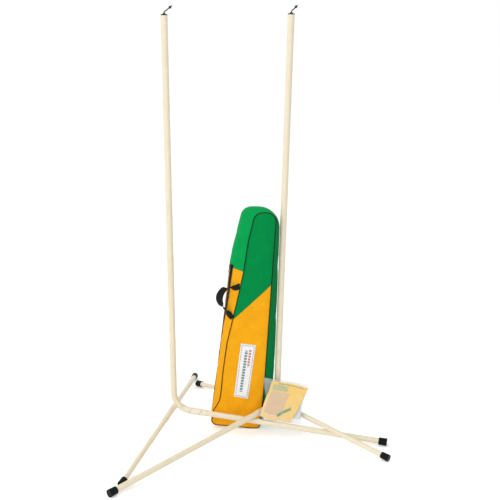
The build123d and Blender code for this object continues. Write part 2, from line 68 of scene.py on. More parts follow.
# %% Stage, lights and camera
def make_world(left, right, seen):
    """A world that lights with greys from left to right, and shows one to rays that look at it."""
    world = bpy.data.worlds.new("studio")
    world.use_nodes = True
    tree = world.node_tree
    tree.nodes.clear()
    path = tree.nodes.new("ShaderNodeLightPath")
    lit = tree.nodes.new("ShaderNodeBackground")
    shown = tree.nodes.new("ShaderNodeBackground")
    where = tree.nodes.new("ShaderNodeTexCoord")
    ways = tree.nodes.new("ShaderNodeSeparateXYZ")
    level = tree.nodes.new("ShaderNodeMapRange")
    level.inputs["From Min"].default_value = -1
    level.inputs["To Min"].default_value = left
    level.inputs["To Max"].default_value = right
    tree.links.new(where.outputs["Generated"], ways.inputs[0])
    tree.links.new(ways.outputs["X"], level.inputs["Value"])
    tree.links.new(level.outputs["Result"], lit.inputs["Color"])
    shown.inputs["Color"].default_value = (seen, seen, seen, 1)
    either = tree.nodes.new("ShaderNodeMath")
    either.operation = "MAXIMUM"
    through = tree.nodes.new("ShaderNodeMath")
    through.operation = "MAXIMUM"
    mix = tree.nodes.new("ShaderNodeMixShader")
    out = tree.nodes.new("ShaderNodeOutputWorld")
    tree.links.new(path.outputs["Is Camera Ray"], either.inputs[0])
    tree.links.new(path.outputs["Is Glossy Ray"], either.inputs[1])
    tree.links.new(either.outputs[0], through.inputs[0])
    tree.links.new(path.outputs["Is Transmission Ray"], through.inputs[1])
    tree.links.new(through.outputs[0], mix.inputs["Fac"])
    tree.links.new(lit.outputs[0], mix.inputs[1])
    tree.links.new(shown.outputs[0], mix.inputs[2])
    tree.links.new(mix.outputs[0], out.inputs["Surface"])
    bpy.context.scene.world = world


def area_lamp(name, place, aim, size, power):
    """A square lamp at a place, turned to face a point."""
    data = bpy.data.lights.new(name, "AREA")
    data.size = size
    data.energy = power
    lamp = bpy.data.objects.new(name, data)
    lamp.location = place
    lamp.rotation_euler = (Vector(aim) - Vector(place)).to_track_quat("-Z", "Y").to_euler()
    bpy.context.collection.objects.link(lamp)
    return lamp


make_world(left=0.86, right=0.56, seen=1.0)
area_lamp("key", (-3.6, -3.8, 3.4), (0.0, 0.0, 0.5), 3.0, 74)
area_lamp("fill", (0.8, -4.4, 0.9), (0.0, 0.0, 0.3), 2.5, 26)
area_lamp("top", (-0.6, 0.4, 4.6), (0.0, 0.0, 0.5), 2.0, 18)

floor_mesh = bpy.data.meshes.new("floor")
reach = 30.0
floor_mesh.from_pydata(
    [(-reach, -reach, 0), (reach, -reach, 0), (reach, reach, 0), (-reach, reach, 0)],
    [],
    [(0, 1, 2, 3)],
)
floor = bpy.data.objects.new("floor", floor_mesh)
bpy.context.collection.objects.link(floor)

camera_place = Vector((-0.01405, -4.2647, 1.969))
camera_pitch = math.radians(14.966)  # down from level
camera_roll = math.radians(0.1657)
ahead = Vector((0, math.cos(camera_pitch), -math.sin(camera_pitch)))
level = Vector((1, 0, 0))
down = Vector((0, -math.sin(camera_pitch), -math.cos(camera_pitch)))
right_way = level * math.cos(camera_roll) + down * math.sin(camera_roll)
down_way = down * math.cos(camera_roll) - level * math.sin(camera_roll)
camera_data = bpy.data.cameras.new("camera")
camera_data.sensor_width = 36
camera_data.lens = 75.08
camera = bpy.data.objects.new("camera", camera_data)
turned = Matrix((right_way, -down_way, -ahead)).transposed().to_4x4()
camera.matrix_world = Matrix.Translation(camera_place) @ turned
bpy.context.collection.objects.link(camera)
bpy.context.scene.camera = camera
bpy.context.scene.view_settings.view_transform = "Standard"
print("camera at", tuple(camera.location), "lens", camera_data.lens)

# %% [markdown]
# ## Mesh helpers
#
# Each made piece is one or more sheets of points P(i, j) held in a numpy array with two rows of
# freedom, joined into quads. A profile carried along a path is the same thing: the rows are
# stations along the path and the columns go round the profile. The helpers below build the
# quads, the frames along a path and the Blender object, and print what they made.


# %% Mesh helpers
def quads_of(rows, cols, around=False, start=0):
    """Quads (i, j), (i, j+1), (i+1, j+1), (i+1, j) of a grid whose first point has index start.

    With around, the last column joins the first one.
    """
    i, j = np.meshgrid(np.arange(rows - 1), np.arange(cols - (not around)), indexing="ij")
    k = (j + 1) % cols
    corners = [i * cols + j, i * cols + k, (i + 1) * cols + k, (i + 1) * cols + j]
    return np.stack(corners, -1).reshape(-1, 4) + start


def unit(v):
    """v / |v| along the last axis."""
    return v / np.linalg.norm(v, axis=-1, keepdims=True)


def smooth_line(points, count):
    """A Catmull-Rom curve through points, resampled at count equal steps of its length.

    P(t) = p1 + t (p2 - p0)/2 + t^2 (p0 - 5/2 p1 + 2 p2 - p3/2) + t^3 (3/2 (p1 - p2) + (p3 - p0)/2)
    """
    p = np.asarray(points, float)
    p = np.vstack([2 * p[0] - p[1], p, 2 * p[-1] - p[-2]])
    t = np.linspace(0, 1, 24, endpoint=False)[:, None]
    runs = []
    for p0, p1, p2, p3 in zip(p[:-3], p[1:-2], p[2:-1], p[3:]):
        square = p0 - 2.5 * p1 + 2 * p2 - 0.5 * p3
        cube = 1.5 * (p1 - p2) + 0.5 * (p3 - p0)
        runs.append(p1 + 0.5 * t * (p2 - p0) + t**2 * square + t**3 * cube)
    dense = np.vstack(runs + [p[-2:-1]])
    length = np.concatenate([[0], np.linalg.norm(np.diff(dense, axis=0), axis=1).cumsum()])
    at = np.linspace(0, length[-1], count)
    return np.stack([np.interp(at, length, dense[:, k]) for k in range(3)], -1), length[-1]


def make_piece(name, points, faces, material, body, uv=None, indices=None, smooth=True):
    """A mesh object from arrays, riding on a CAD body.

    uv holds one (u, v) in metres for each corner of each face, and indices one material
    slot for each face.
    """
    mesh = bpy.data.meshes.new(name)
    mesh.from_pydata(np.asarray(points, float).tolist(), [], np.asarray(faces).tolist())
    if uv is not None:
        layer = mesh.uv_layers.new(name="cloth")
        layer.data.foreach_set("uv", np.asarray(uv, np.float32).ravel())
    if indices is not None:
        mesh.polygons.foreach_set("material_index", np.asarray(indices, np.int32))
    mesh.polygons.foreach_set("use_smooth", np.full(len(mesh.polygons), smooth))
    mesh.update()
    obj = bpy.data.objects.new(name, mesh)
    bpy.context.collection.objects.link(obj)
    for m in material if isinstance(material, list) else [material]:
        mesh.materials.append(m)
    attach(obj, body)
    size = points.max(0) - points.min(0)
    print(f"{name}: {len(points)} points, {len(faces)} faces, {np.round(size * 1000, 1)} mm")
    return obj


def face_outward(obj):
    """Turns a closed mesh's faces to point outward."""
    shape = bmesh.new()
    shape.from_mesh(obj.data)
    bmesh.ops.recalc_face_normals(shape, faces=shape.faces)
    shape.to_mesh(obj.data)
    shape.free()


def ripples(points, waves, seed):
    """A sum of soft folds: each wave is (length in metres, height in metres, count).

    h(p) = sum height / count * sin(2 pi p . d / length + phase), d a random direction.
    """
    chance = np.random.default_rng(seed)
    total = np.zeros(len(points))
    for length, height, count in waves:
        for _ in range(count):
            way = unit(chance.normal(size=points.shape[1]))
            phase = chance.uniform(0, 2 * np.pi)
            total += height / count * np.sin(2 * np.pi * points @ way / length + phase)
    return total


# %% [markdown]
# ## Shader groups
#
# Three effects are shared by several materials, so each is a node group with named sockets.
# "weave" draws two sets of threads across each other and tints and roughens them, and paints the crests of
# its soft creases lighter as a painted highlight. "grain" adds wear and unevenness at two sizes to a coated
# or moulded surface. "split" says which side of a slanted seam a point lies on, where the stitches beside
# the seam are, and where the seam's fold is, which the two-tone cloth darkens as a painted shade. They give
# colours, masks and normals only: the shader itself stays in each material.


# %% Shader group builder
class Tree:
    """A node tree with short ways to add nodes and link them."""

    def __init__(self, tree):
        self.tree = tree

    def add(self, kind, settings=(), **inputs):
        """A node with its settings made, and its inputs set or linked."""
        node = self.tree.nodes.new("ShaderNode" + kind)
        for key, value in dict(settings).items():
            setattr(node, key, value)
        for key, value in inputs.items():
            self.put(node, key.replace("_", " "), value)
        return node

    def put(self, node, key, value):
        """Sets or links one input, found by its name or its number."""
        socket = node.inputs[int(key[1:])] if key[1:].isdigit() else node.inputs[key]
        if isinstance(value, bpy.types.NodeSocket):
            self.tree.links.new(value, socket)
        else:
            socket.default_value = value

    def math(self, operation, a, b=0.0, c=None):
        """One number out of one, two or three."""
        given = dict(i0=a, i1=b)
        if c is not None:
            given["i2"] = c
        return self.add("Math", dict(operation=operation), **given).outputs[0]

    def ramp(self, value, low, high, start=0.0, end=1.0):
        """value carried smoothly from low..high to start..end."""
        node = self.add("MapRange", dict(interpolation_type="SMOOTHSTEP"), Value=value)
        for key, number in zip(("From Min", "From Max", "To Min", "To Max"), (low, high, start, end)):
            self.put(node, key, number)
        return node.outputs["Result"]

    def mix(self, factor, a, b, blend="MIX"):
        """Two colours mixed by a factor."""
        node = self.add("Mix", dict(data_type="RGBA", blend_type=blend))
        self.put(node, "i0", factor)
        self.put(node, "i6", a)
        self.put(node, "i7", b)
        return node.outputs[2]


def start_group(name, inputs, outputs):
    """An empty shader group. inputs are (name, kind, value), and outputs (name, kind)."""
    group = bpy.data.node_groups.new(name, "ShaderNodeTree")
    for label, kind, value in inputs:
        socket = group.interface.new_socket(label, in_out="INPUT", socket_type="NodeSocket" + kind)
        socket.default_value = value
    for label, kind in outputs:
        group.interface.new_socket(label, in_out="OUTPUT", socket_type="NodeSocket" + kind)
    tree = Tree(group)
    return group, tree, tree.tree.nodes.new("NodeGroupInput"), tree.tree.nodes.new("NodeGroupOutput")


def linear(red, green, blue):
    """A colour as a screen shows it, 0 to 255, as the linear light that a shader takes."""
    share = np.array([red, green, blue]) / 255
    light = np.where(share <= 0.04045, share / 12.92, ((share + 0.055) / 1.055) ** 2.4)
    return (*light.tolist(), 1.0)


# %% The weave group
weave, t, given, out = start_group(
    "weave",
    [
        ("Cloth", "Vector", (0, 0, 0)),
        ("Colour", "Color", (0.5, 0.5, 0.5, 1)),
        ("Threads", "Float", 4200.0),
        ("Shade", "Float", 0.25),
        ("Depth", "Float", 0.5),
    ],
    [("Colour", "Color"), ("Roughness", "Float"), ("Normal", "Vector")],
)
parts = t.add("SeparateXYZ", Vector=given.outputs["Cloth"])
across = t.math("SINE", t.math("MULTIPLY", parts.outputs[0], given.outputs["Threads"]))
along = t.math("SINE", t.math("MULTIPLY", parts.outputs[1], given.outputs["Threads"]))
crossing = t.math("MULTIPLY", across, along)
thread_height = t.math("MULTIPLY_ADD", crossing, 0.5, 0.5)
patchy = t.add("TexNoise", Vector=given.outputs["Cloth"], Scale=16.0, Detail=4.0, Roughness=0.6)
worn = t.ramp(patchy.outputs[0], 0.35, 0.7)
darker = t.add("HueSaturation", Color=given.outputs["Colour"], Value=0.72)
lighter = t.add("HueSaturation", Color=given.outputs["Colour"], Value=1.25)
threads = t.mix(thread_height, darker.outputs[0], given.outputs["Colour"])
cloth = t.mix(given.outputs["Shade"], given.outputs["Colour"], threads)
crumple = t.add("TexNoise", Vector=given.outputs["Cloth"], Scale=20.0, Detail=4.0, Distortion=0.4)
# The crests of the soft creases are painted lighter: a painted highlight, mixed with the lighter patches of
# wear.
crease_highlight = t.math("MULTIPLY", t.ramp(crumple.outputs[0], 0.54, 0.70), 0.22)
wear_and_highlight = t.mix(t.math("MULTIPLY_ADD", worn, 0.25, crease_highlight), cloth, lighter.outputs[0])
t.put(out, "Colour", wear_and_highlight)
t.put(out, "Roughness", t.math("MULTIPLY_ADD", worn, 0.12, 0.5))
soft = t.add("Bump", Height=crumple.outputs[0], Strength=0.5, Distance=0.009)
fine = t.add("Bump", Height=thread_height, Strength=given.outputs["Depth"], Distance=0.0003)
t.put(fine, "Normal", soft.outputs[0])
t.put(out, "Normal", fine.outputs[0])
print("weave group:", len(weave.nodes), "nodes")

# %% The grain group
grain, t, given, out = start_group(
    "grain",
    [
        ("Place", "Vector", (0, 0, 0)),
        ("Colour", "Color", (0.5, 0.5, 0.5, 1)),
        ("Wear", "Color", (0.5, 0.5, 0.5, 1)),
        ("Amount", "Float", 0.2),
        ("Size", "Float", 30.0),
        ("Depth", "Float", 0.1),
    ],
    [("Colour", "Color"), ("Roughness", "Float"), ("Normal", "Vector")],
)
broad = t.add("TexNoise", Vector=given.outputs["Place"], Scale=given.outputs["Size"], Detail=5.0)
specks_size = t.math("MULTIPLY", given.outputs["Size"], 14.0)
specks = t.add("TexNoise", Vector=given.outputs["Place"], Scale=specks_size, Detail=2.0)
stain = t.ramp(broad.outputs[0], 0.45, 0.75)
spot = t.ramp(specks.outputs[0], 0.58, 0.72)
marked = t.math("MULTIPLY", t.math("MAXIMUM", stain, spot), given.outputs["Amount"])
t.put(out, "Colour", t.mix(marked, given.outputs["Colour"], given.outputs["Wear"]))
t.put(out, "Roughness", t.math("MULTIPLY_ADD", stain, 0.15, 0.3))
uneven = t.add("Bump", Height=specks.outputs[0], Strength=given.outputs["Depth"], Distance=0.0006)
t.put(out, "Normal", uneven.outputs[0])
print("grain group:", len(grain.nodes), "nodes")

# %% The split group
split, t, given, out = start_group(
    "split",
    [
        ("Place", "Vector", (0, 0, 0)),
        ("Point", "Vector", (0, 0, 0)),
        ("Across", "Vector", (0, 0, 1)),
        ("Along", "Vector", (1, 0, 0)),
    ],
    [("Side", "Float"), ("Stitch", "Float"), ("Fold", "Float")],
)
apart = t.add("VectorMath", dict(operation="SUBTRACT"), i0=given.outputs["Place"], i1=given.outputs["Point"])
rise = t.add("VectorMath", dict(operation="DOT_PRODUCT"), i0=apart.outputs[0], i1=given.outputs["Across"])
run = t.add("VectorMath", dict(operation="DOT_PRODUCT"), i0=apart.outputs[0], i1=given.outputs["Along"])
height = rise.outputs["Value"]
t.put(out, "Side", t.ramp(height, -0.0004, 0.0004))
t.put(out, "Fold", t.ramp(t.math("ABSOLUTE", height), 0.0003, 0.0016, 1.0, 0.0))
row = t.ramp(t.math("ABSOLUTE", t.math("SUBTRACT", height, 0.005)), 0.0003, 0.0007, 1.0, 0.0)
dash = t.ramp(t.math("SINE", t.math("MULTIPLY", run.outputs["Value"], 1600.0)), -0.4, 0.0)
t.put(out, "Stitch", t.math("MULTIPLY", row, dash))
print("split group:", len(split.nodes), "nodes")


# %% Material helpers
def start_material(name):
    """A material's tree, its Principled shader and its coordinates."""
    material = bpy.data.materials.new(name)
    material.use_nodes = True
    tree = Tree(material.node_tree)
    shader = material.node_tree.nodes["Principled BSDF"]
    return material, tree, shader, tree.add("TexCoord")


def use_group(tree, group, **inputs):
    """A node that holds a group, with its inputs set or linked."""
    node = tree.tree.nodes.new("ShaderNodeGroup")
    node.node_tree = group
    for key, value in inputs.items():
        tree.put(node, key, value)
    return node


def connect(tree, node, shader, names=("Roughness", "Normal")):
    """Links a group's outputs to the shader's inputs of the same name."""
    for name in names:
        tree.put(shader, name, node.outputs[name])


def coated(name, colour, wear, amount, size, depth, **fixed):
    """A painted, plated or moulded surface, from the grain group."""
    material, tree, shader, where = start_material(name)
    made = use_group(
        tree, grain, Place=where.outputs["Object"], Colour=colour, Wear=wear, Amount=amount,
        Size=size, Depth=depth,
    )
    tree.put(shader, "Base Color", made.outputs["Colour"])
    connect(tree, made, shader)
    for key, value in fixed.items():
        shader.inputs[key.replace("_", " ")].default_value = value
    return material


def woven(name, colour, threads=4200.0, shade=0.25, depth=0.5, **fixed):
    """Cloth of one colour, from the weave group, on the piece's own cloth coordinates."""
    material, tree, shader, where = start_material(name)
    made = use_group(
        tree, weave, Cloth=where.outputs["UV"], Colour=colour, Threads=threads, Shade=shade,
        Depth=depth,
    )
    tree.put(shader, "Base Color", made.outputs["Colour"])
    connect(tree, made, shader)
    for key, value in fixed.items():
        shader.inputs[key.replace("_", " ")].default_value = value
    return material


# %% [markdown]
# ## Tubes, feet, caps and hooks
#
# The CAD tubes are right as they are: bent tube, plain ends, a chamfered rim. They only want
# their coat of cream enamel, which is slightly uneven and slightly yellower where it is thick.
# The feet are black rubber, the hooks black plated wire, and the couplers bare steel.

# %% Materials for the CAD nodes
enamel = coated(
    "cream enamel", linear(240, 229, 202), linear(232, 216, 182), 0.35, 24.0, 0.05,
    Coat_Weight=0.2, Coat_Roughness=0.2, Specular_IOR_Level=0.3,
)
rubber = coated(
    "black rubber", linear(16, 24, 22), linear(46, 48, 47), 0.35, 55.0, 0.35,
    Specular_IOR_Level=0.06,
)
cap_plastic = coated(
    "cap plastic", linear(40, 40, 40), linear(78, 76, 72), 0.35, 80.0, 0.2,
    Specular_IOR_Level=0.2,
)
hook_steel = coated(
    "hook steel", linear(32, 32, 34), linear(90, 88, 84), 0.4, 120.0, 0.15, Metallic=0.7,
)
bare_steel = coated(
    "bare steel", linear(178, 178, 176), linear(138, 136, 130), 0.5, 45.0, 0.12, Metallic=1.0,
)
zip_metal = coated(
    "zip metal", linear(48, 46, 44), linear(150, 146, 138), 0.35, 260.0, 0.15, Metallic=0.85,
)
tape_film = coated(
    "cream tape", linear(242, 233, 212), linear(228, 213, 182), 0.35, 60.0, 0.2,
    Coat_Weight=0.3, Coat_Roughness=0.2, Specular_IOR_Level=0.3,
)
black_piping = coated(
    "black piping", linear(18, 18, 20), linear(50, 50, 52), 0.4, 300.0, 0.5,
    Specular_IOR_Level=0.08,
)

finishes = {
    "cream_paint": enamel,
    "foot_rubber": rubber,
    "cap_plastic": cap_plastic,
    "hook_steel": hook_steel,
    "bare_steel": bare_steel,
    "zip_metal": zip_metal,
    "tape": tape_film,
}


def finish_node(name, material):
    """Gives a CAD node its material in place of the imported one."""
    mesh = nodes[name].data
    mesh.materials.clear()
    mesh.materials.append(material)


for name in nodes:
    if name.endswith(("_pole", "_sleeve", "_weld", "_arm", "_leg")):
        finish_node(name, finishes["cream_paint"])
    elif name.endswith("_foot"):
        finish_node(name, finishes["foot_rubber"])
    elif name.endswith("_cap"):
        finish_node(name, finishes["cap_plastic"])
    elif name.endswith("_hook"):
        finish_node(name, finishes["hook_steel"])
    elif name.endswith("_coupler"):
        finish_node(name, finishes["bare_steel"])
    elif name.endswith("_band"):
        finish_node(name, finishes["tape"])
    elif name in ("zip_slider", "zip_puller"):
        finish_node(name, finishes["zip_metal"])
print("CAD nodes dressed:", sum(bool(o.data.materials) for o in nodes.values()))

# %% [markdown]
# ## Carry bag: the shell
#
# A bag is sewn from a front panel, a back panel and a gusset that runs round between them. Each
# panel is a grid whose rows run from its left edge to its right edge, with rows set closer near
# the rounded corners. The gusset joins three such outlines F, M and B (front, middle, back) by
# the parabola through them, P(s) = F (2s - 1)(s - 1) + M 4s (1 - s) + B s (2s - 1). Front,
# gusset and back share their rim points, so the shell is closed.

# %% The bag's outlines
right_up = joints["right_upper_pole_pull"]["axis"]
right_top = joints["right_hook_swivel"]["pos_m"]
right_foot = right_top[0] - right_top[2] * right_up[0] / right_up[2]
bag_origin = round(right_foot, 5)  # the right pole's foot, from which the outlines are drawn
pole_radius, pole_lean, pole_gap = 0.014, 0.031, 0.0013
bag_front, bag_back = 0.0219, 0.1159
bag_girth = (bag_front + bag_back) / 2
bag_top, girth_top = 0.986, 1.001
knee = 0.280


def rounded_chain(corners, radii, steps=14):
    """Points along a line of corners, each rounded by its radius."""
    corners = [np.array(c, float) for c in corners]
    chain = [corners[0]]
    for before, here, after, radius in zip(corners, corners[1:], corners[2:], radii):
        to_before, to_after = unit(before - here), unit(after - here)
        half = math.acos(np.clip(to_before @ to_after, -1, 1)) / 2
        middle = here + unit(to_before + to_after) * radius / math.sin(half)
        first = here + to_before * radius / math.tan(half) - middle
        last = here + to_after * radius / math.tan(half) - middle
        turn = math.atan2(first[0] * last[1] - first[1] * last[0], first @ last)
        angle = np.linspace(0, turn, steps)[:, None]
        sideways = np.array([-first[1], first[0]])
        chain.extend(middle + np.cos(angle) * first + np.sin(angle) * sideways)
    return np.array(chain + [corners[-1]])


def drawn_in(knee_x, base_x, top_x, tall):
    """The right side below the knee: an arc that leaves the upper side's line smoothly."""
    start, end, top = np.array([knee_x, knee]), np.array([base_x, 0]), np.array([top_x, tall])
    way = unit(start - top)
    inward = np.array([way[1], -way[0]])
    chord = end - start
    radius = chord @ chord / (2 * chord @ inward)
    middle = start + inward * radius
    up = np.linspace(0, knee, 10)
    return np.stack([middle[0] + np.sign(radius) * np.sqrt(radius**2 - (up - middle[1]) ** 2), up], -1)


def sides_of(base, knee_x, top, rounds, tall=bag_top, shoulder=None):
    """The outline's left and right edges as a function of height.

    The left edge is straight, or bends at a shoulder (x, height).
    """
    low = drawn_in(knee_x, base[1], top[1], tall)
    centre = (base[0] + base[1]) / 2
    crown = (top[0] + top[1]) / 2
    left_corners = [(centre, 0), (base[0], 0), (top[0], tall), (crown, tall)]
    left_rounds = list(rounds[::2])
    if shoulder:
        left_corners.insert(2, shoulder)
        left_rounds.insert(1, 0.2)
    left = rounded_chain(left_corners, left_rounds)
    corner = rounded_chain([(centre, 0), tuple(low[0]), tuple(low[3])], rounds[1:2])
    peak = rounded_chain([tuple(low[-1]), (top[1], tall), (crown, tall)], rounds[3:4])
    right = np.vstack([corner[:-1], low[3:-1], peak])

    def edges(heights):
        return [np.interp(heights, chain[1:-1, 1], chain[1:-1, 0]) for chain in (left, right)]

    return edges


def pole_side(height):
    """The right pole's near side at a height, less the gap that the bag keeps."""
    return pole_lean * height - pole_radius * math.hypot(1, pole_lean) - pole_gap


front_edges = sides_of((-0.290, -0.075), -0.048, (-0.092, -0.001), (0.028, 0.018, 0.040, 0.040))
girth_edges = sides_of(
    (-0.294, -0.068), pole_side(knee), (-0.138, pole_side(girth_top)),
    (0.030, 0.016, 0.042, 0.090), girth_top, shoulder=(-0.1852, 0.815),
)
back_edges = sides_of(
    (-0.290, -0.075), -0.048, (-0.140, -0.001), (0.028, 0.018, 0.050, 0.060),
    shoulder=(-0.2008, 0.745),
)
rows, cols = 150, 24
even = np.linspace(0, 1, rows)
climb = even - 0.8 * np.sin(2 * np.pi * even) / (2 * np.pi)
spread = (1 - np.cos(np.linspace(0, np.pi, cols))) / 2 * 0.35 + np.linspace(0, 1, cols) * 0.65


def panel_grid(edges, depth, tall=bag_top):
    """Rows of points between the two edges, in an upright plane at a depth."""
    left, right = edges(climb * tall)
    x = bag_origin + left[:, None] * (1 - spread) + right[:, None] * spread
    return np.stack(np.broadcast_arrays(x, depth, (climb * tall)[:, None]), -1)


def rim_indices():
    """The grid's rim as indices, round from the bottom left corner through the right side."""
    index = np.arange(rows * cols).reshape(rows, cols)
    return np.concatenate([index[0, :-1], index[:-1, -1], index[-1, :0:-1], index[:0:-1, 0]])


rim = rim_indices()
print("rim of", len(rim), "points; left and right at the floor", front_edges(np.array([0.0])))

# %% [markdown]
# ## Carry bag: how it stands
#
# Sewn cloth is never as straight as its pattern. The front's left seam wanders by a few
# millimetres, and is pushed in above the foot of the bag, where the load bulges. The front's
# base is lifted at its left end. Both moves are largest at the left edge and die away to the
# right, so the weave is not torn.

# %% The front as it stands
seam_at = np.array([0, 40, 90, 108, 135, 160, 210, 280, 405, 600, 731, 855, 986]) / 1000
seam_off = np.array([-1, -4, -6, 3, 11.5, 11.5, 7, 0, -7, 0, 2.2, -4.3, 0]) / 1000
front_grid = panel_grid(front_edges, bag_front)
level_at = front_grid[..., 2]
wander = np.interp(level_at, seam_at, seam_off)
to_right = np.clip((front_grid[..., 0] + 0.160) / 0.155, 0, 1)
lifted = 0.017 * (1 - to_right**1.5) * np.clip(1 - level_at / 0.13, 0, 1) ** 2
front_grid = front_grid + np.stack([wander * (1 - spread) ** 2, 0 * wander, lifted], -1)
front_grid = front_grid.reshape(-1, 3)
middle_grid = panel_grid(girth_edges, bag_girth, girth_top).reshape(-1, 3)
back_grid = panel_grid(back_edges, bag_back).reshape(-1, 3)
print("front seam moved by up to", round(float(np.abs(wander).max()) * 1000, 1), "mm")

# %% The shell's points and faces
rings = 15
share = np.linspace(0, 1, rings)[1:-1, None, None]
from_front = (2 * share - 1) * (share - 1)
from_middle = 4 * share * (1 - share)
from_back = share * (2 * share - 1)
between = front_grid[rim] * from_front + middle_grid[rim] * from_middle + back_grid[rim] * from_back
between[..., 2] = np.maximum(between[..., 2], 0)
panel_count = rows * cols
band_count = (rings - 2) * len(rim)
shell_points = np.vstack([front_grid, between.reshape(-1, 3), back_grid])
loops = np.vstack(
    [rim, panel_count + np.arange(band_count).reshape(rings - 2, -1), panel_count + band_count + rim]
)
following = np.roll(loops, -1, axis=1)
band_quads = np.stack([loops[:-1], following[:-1], following[1:], loops[1:]], -1).reshape(-1, 4)
front_quads = quads_of(rows, cols)
back_quads = quads_of(rows, cols, start=panel_count + band_count)
shell_quads = np.vstack([front_quads, band_quads, back_quads[:, ::-1]])

rim_steps = np.linalg.norm(np.diff(front_grid[rim], axis=0), axis=1)
rim_run = np.concatenate([[0], rim_steps.cumsum()])
corner_u = np.broadcast_to(rim_run, loops.shape)
corner_v = np.broadcast_to(np.linspace(0, bag_back - bag_front, rings)[:, None], loops.shape)
rim_uv = np.stack([corner_u, corner_v], -1)
next_uv = np.roll(rim_uv, -1, axis=1)
next_uv[:, -1, 0] = rim_run[-1] + rim_steps[-1]
band_uv = np.stack([rim_uv[:-1], next_uv[:-1], next_uv[1:], rim_uv[1:]], -2).reshape(-1, 4, 2)
front_uv = shell_points[front_quads][..., [0, 2]]
back_uv = shell_points[back_quads[:, ::-1]][..., [0, 2]]
shell_uv = np.vstack([front_uv, band_uv, back_uv])

run_of = {"bottom": cols - 1, "right": rows - 1, "top": cols - 1, "left": rows - 1}
order = np.repeat([3, 1, 2, 2], list(run_of.values()))
# Above this height the right side takes the lighter green of the left side: painted light on the crown.
lit_crown_height = 0.955
order[(order == 1) & (front_grid[rim, 2] > lit_crown_height)] = 2
band_material = np.tile(order, rings - 1)
shell_index = np.concatenate([np.zeros(len(front_quads)), band_material, np.zeros(len(back_quads))])
print("shell of", len(shell_points), "points and", len(shell_quads), "quads")


# %% [markdown]
# ## Carry bag: two-tone cloth
#
# The front is green above a slanted seam and yellow below it. The gusset's left side changes colour at its
# own seam, its right side and top are green, and the base is yellow. The gusset's green is a lighter copy on
# the left side and top, which is painted light, and a darker copy on the right side, which is painted shade.
# Each seam is a plane through the cloth, so one group serves them all, and the cloth is painted darker along
# each seam's fold as a painted shade.


# %% Bag materials
green, yellow = linear(0, 140, 70), linear(249, 174, 26)
# The gusset's greens are a lighter and a darker copy of one green: painted light on the left side and crown,
# painted shade on the right side.
lit_green, shaded_green = linear(4, 160, 80), linear(2, 124, 62)


def two_tone(name, high, low, point, toward, **fixed):
    """Cloth that changes colour at a seam, from a point toward another, with stitches beside it and a
    painted shade along its fold.
    """
    material, tree, shader, where = start_material(name)
    along = unit(np.array(toward, float) - np.array(point, float))
    up = unit(np.cross(along, (0, 1, 0)) if abs(along[1]) < 0.9 else np.array([0, 0, 1.0]))
    up = up if up[2] > 0 else -up
    seam = use_group(
        tree, split, Place=where.outputs["Object"], Point=tuple(point), Across=tuple(up),
        Along=tuple(along),
    )
    base = tree.mix(seam.outputs["Side"], low, high)
    thread = tree.mix(tree.math("MULTIPLY", seam.outputs["Stitch"], 0.7), base, linear(20, 90, 50))
    # Painted shade: the cloth is darkened along the seam's fold.
    seam_shade = tree.mix(tree.math("MULTIPLY", seam.outputs["Fold"], 0.35), thread, linear(30, 60, 30))
    made = use_group(tree, weave, Cloth=where.outputs["UV"], Colour=seam_shade)
    tree.put(shader, "Base Color", made.outputs["Colour"])
    connect(tree, made, shader)
    for key, value in fixed.items():
        shader.inputs[key.replace("_", " ")].default_value = value
    return material


front_cloth = two_tone(
    "bag front cloth", green, yellow, (-0.0899, 0.02, 0.5094), (0.0701, 0.02, 0.6606),
    Specular_IOR_Level=0.04,
)
shaded_right_cloth = woven("bag right cloth painted shade", shaded_green, Specular_IOR_Level=0.04)
lit_left_cloth = two_tone(
    "bag left cloth painted light", lit_green, yellow, (-0.1057, 0.0689, 0.7380), (-0.0458, 0.0196, 0.727),
    Specular_IOR_Level=0.04,
)
base_cloth = woven("bag base cloth", yellow, Specular_IOR_Level=0.04)

# %% Build the shell
bag_shell = make_piece(
    "bag_shell", shell_points, shell_quads, [front_cloth, shaded_right_cloth, lit_left_cloth, base_cloth],
    "bag", uv=shell_uv, indices=shell_index,
)
face_outward(bag_shell)
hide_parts("bag_body")


# %% [markdown]
# ## Carry bag: cloth simulation
#
# The sewn shape is stiff and even. Blown up a little, with the cloth cut slightly larger than
# its frame and the two piping lines held, it puckers along the seams and sags into soft folds,
# as nylon over a load of tubes does. The move of each point is kept small, and taken back near
# the floor and beside the pole, which the bag only touches.


# %% Relax the shell
def relax(obj, held, pressure, grow, frames):
    """Runs Blender's cloth on a copy's settings and returns the points that it ends with."""
    group = obj.vertex_groups.new(name="held")
    group.add([int(k) for k in held], 1.0, "REPLACE")
    cloth = obj.modifiers.new("cloth", "CLOTH")
    cloth.settings.quality = 5
    cloth.settings.mass = 0.15
    cloth.settings.tension_stiffness = 20
    cloth.settings.compression_stiffness = 20
    cloth.settings.shear_stiffness = 8
    cloth.settings.bending_stiffness = 2.0
    cloth.settings.vertex_group_mass = group.name
    cloth.settings.use_pressure = True
    cloth.settings.uniform_pressure_force = pressure
    cloth.settings.shrink_min = -grow
    cloth.settings.effector_weights.gravity = 0
    cloth.collision_settings.use_collision = False
    for step in range(1, frames + 1):
        bpy.context.scene.frame_set(step)
    graph = bpy.context.evaluated_depsgraph_get()
    shape = obj.evaluated_get(graph).to_mesh()
    moved = np.zeros(len(shape.vertices) * 3)
    shape.vertices.foreach_get("co", moved)
    obj.evaluated_get(graph).to_mesh_clear()
    obj.modifiers.remove(cloth)
    obj.vertex_groups.remove(group)
    bpy.context.scene.frame_set(1)
    return moved.reshape(-1, 3)


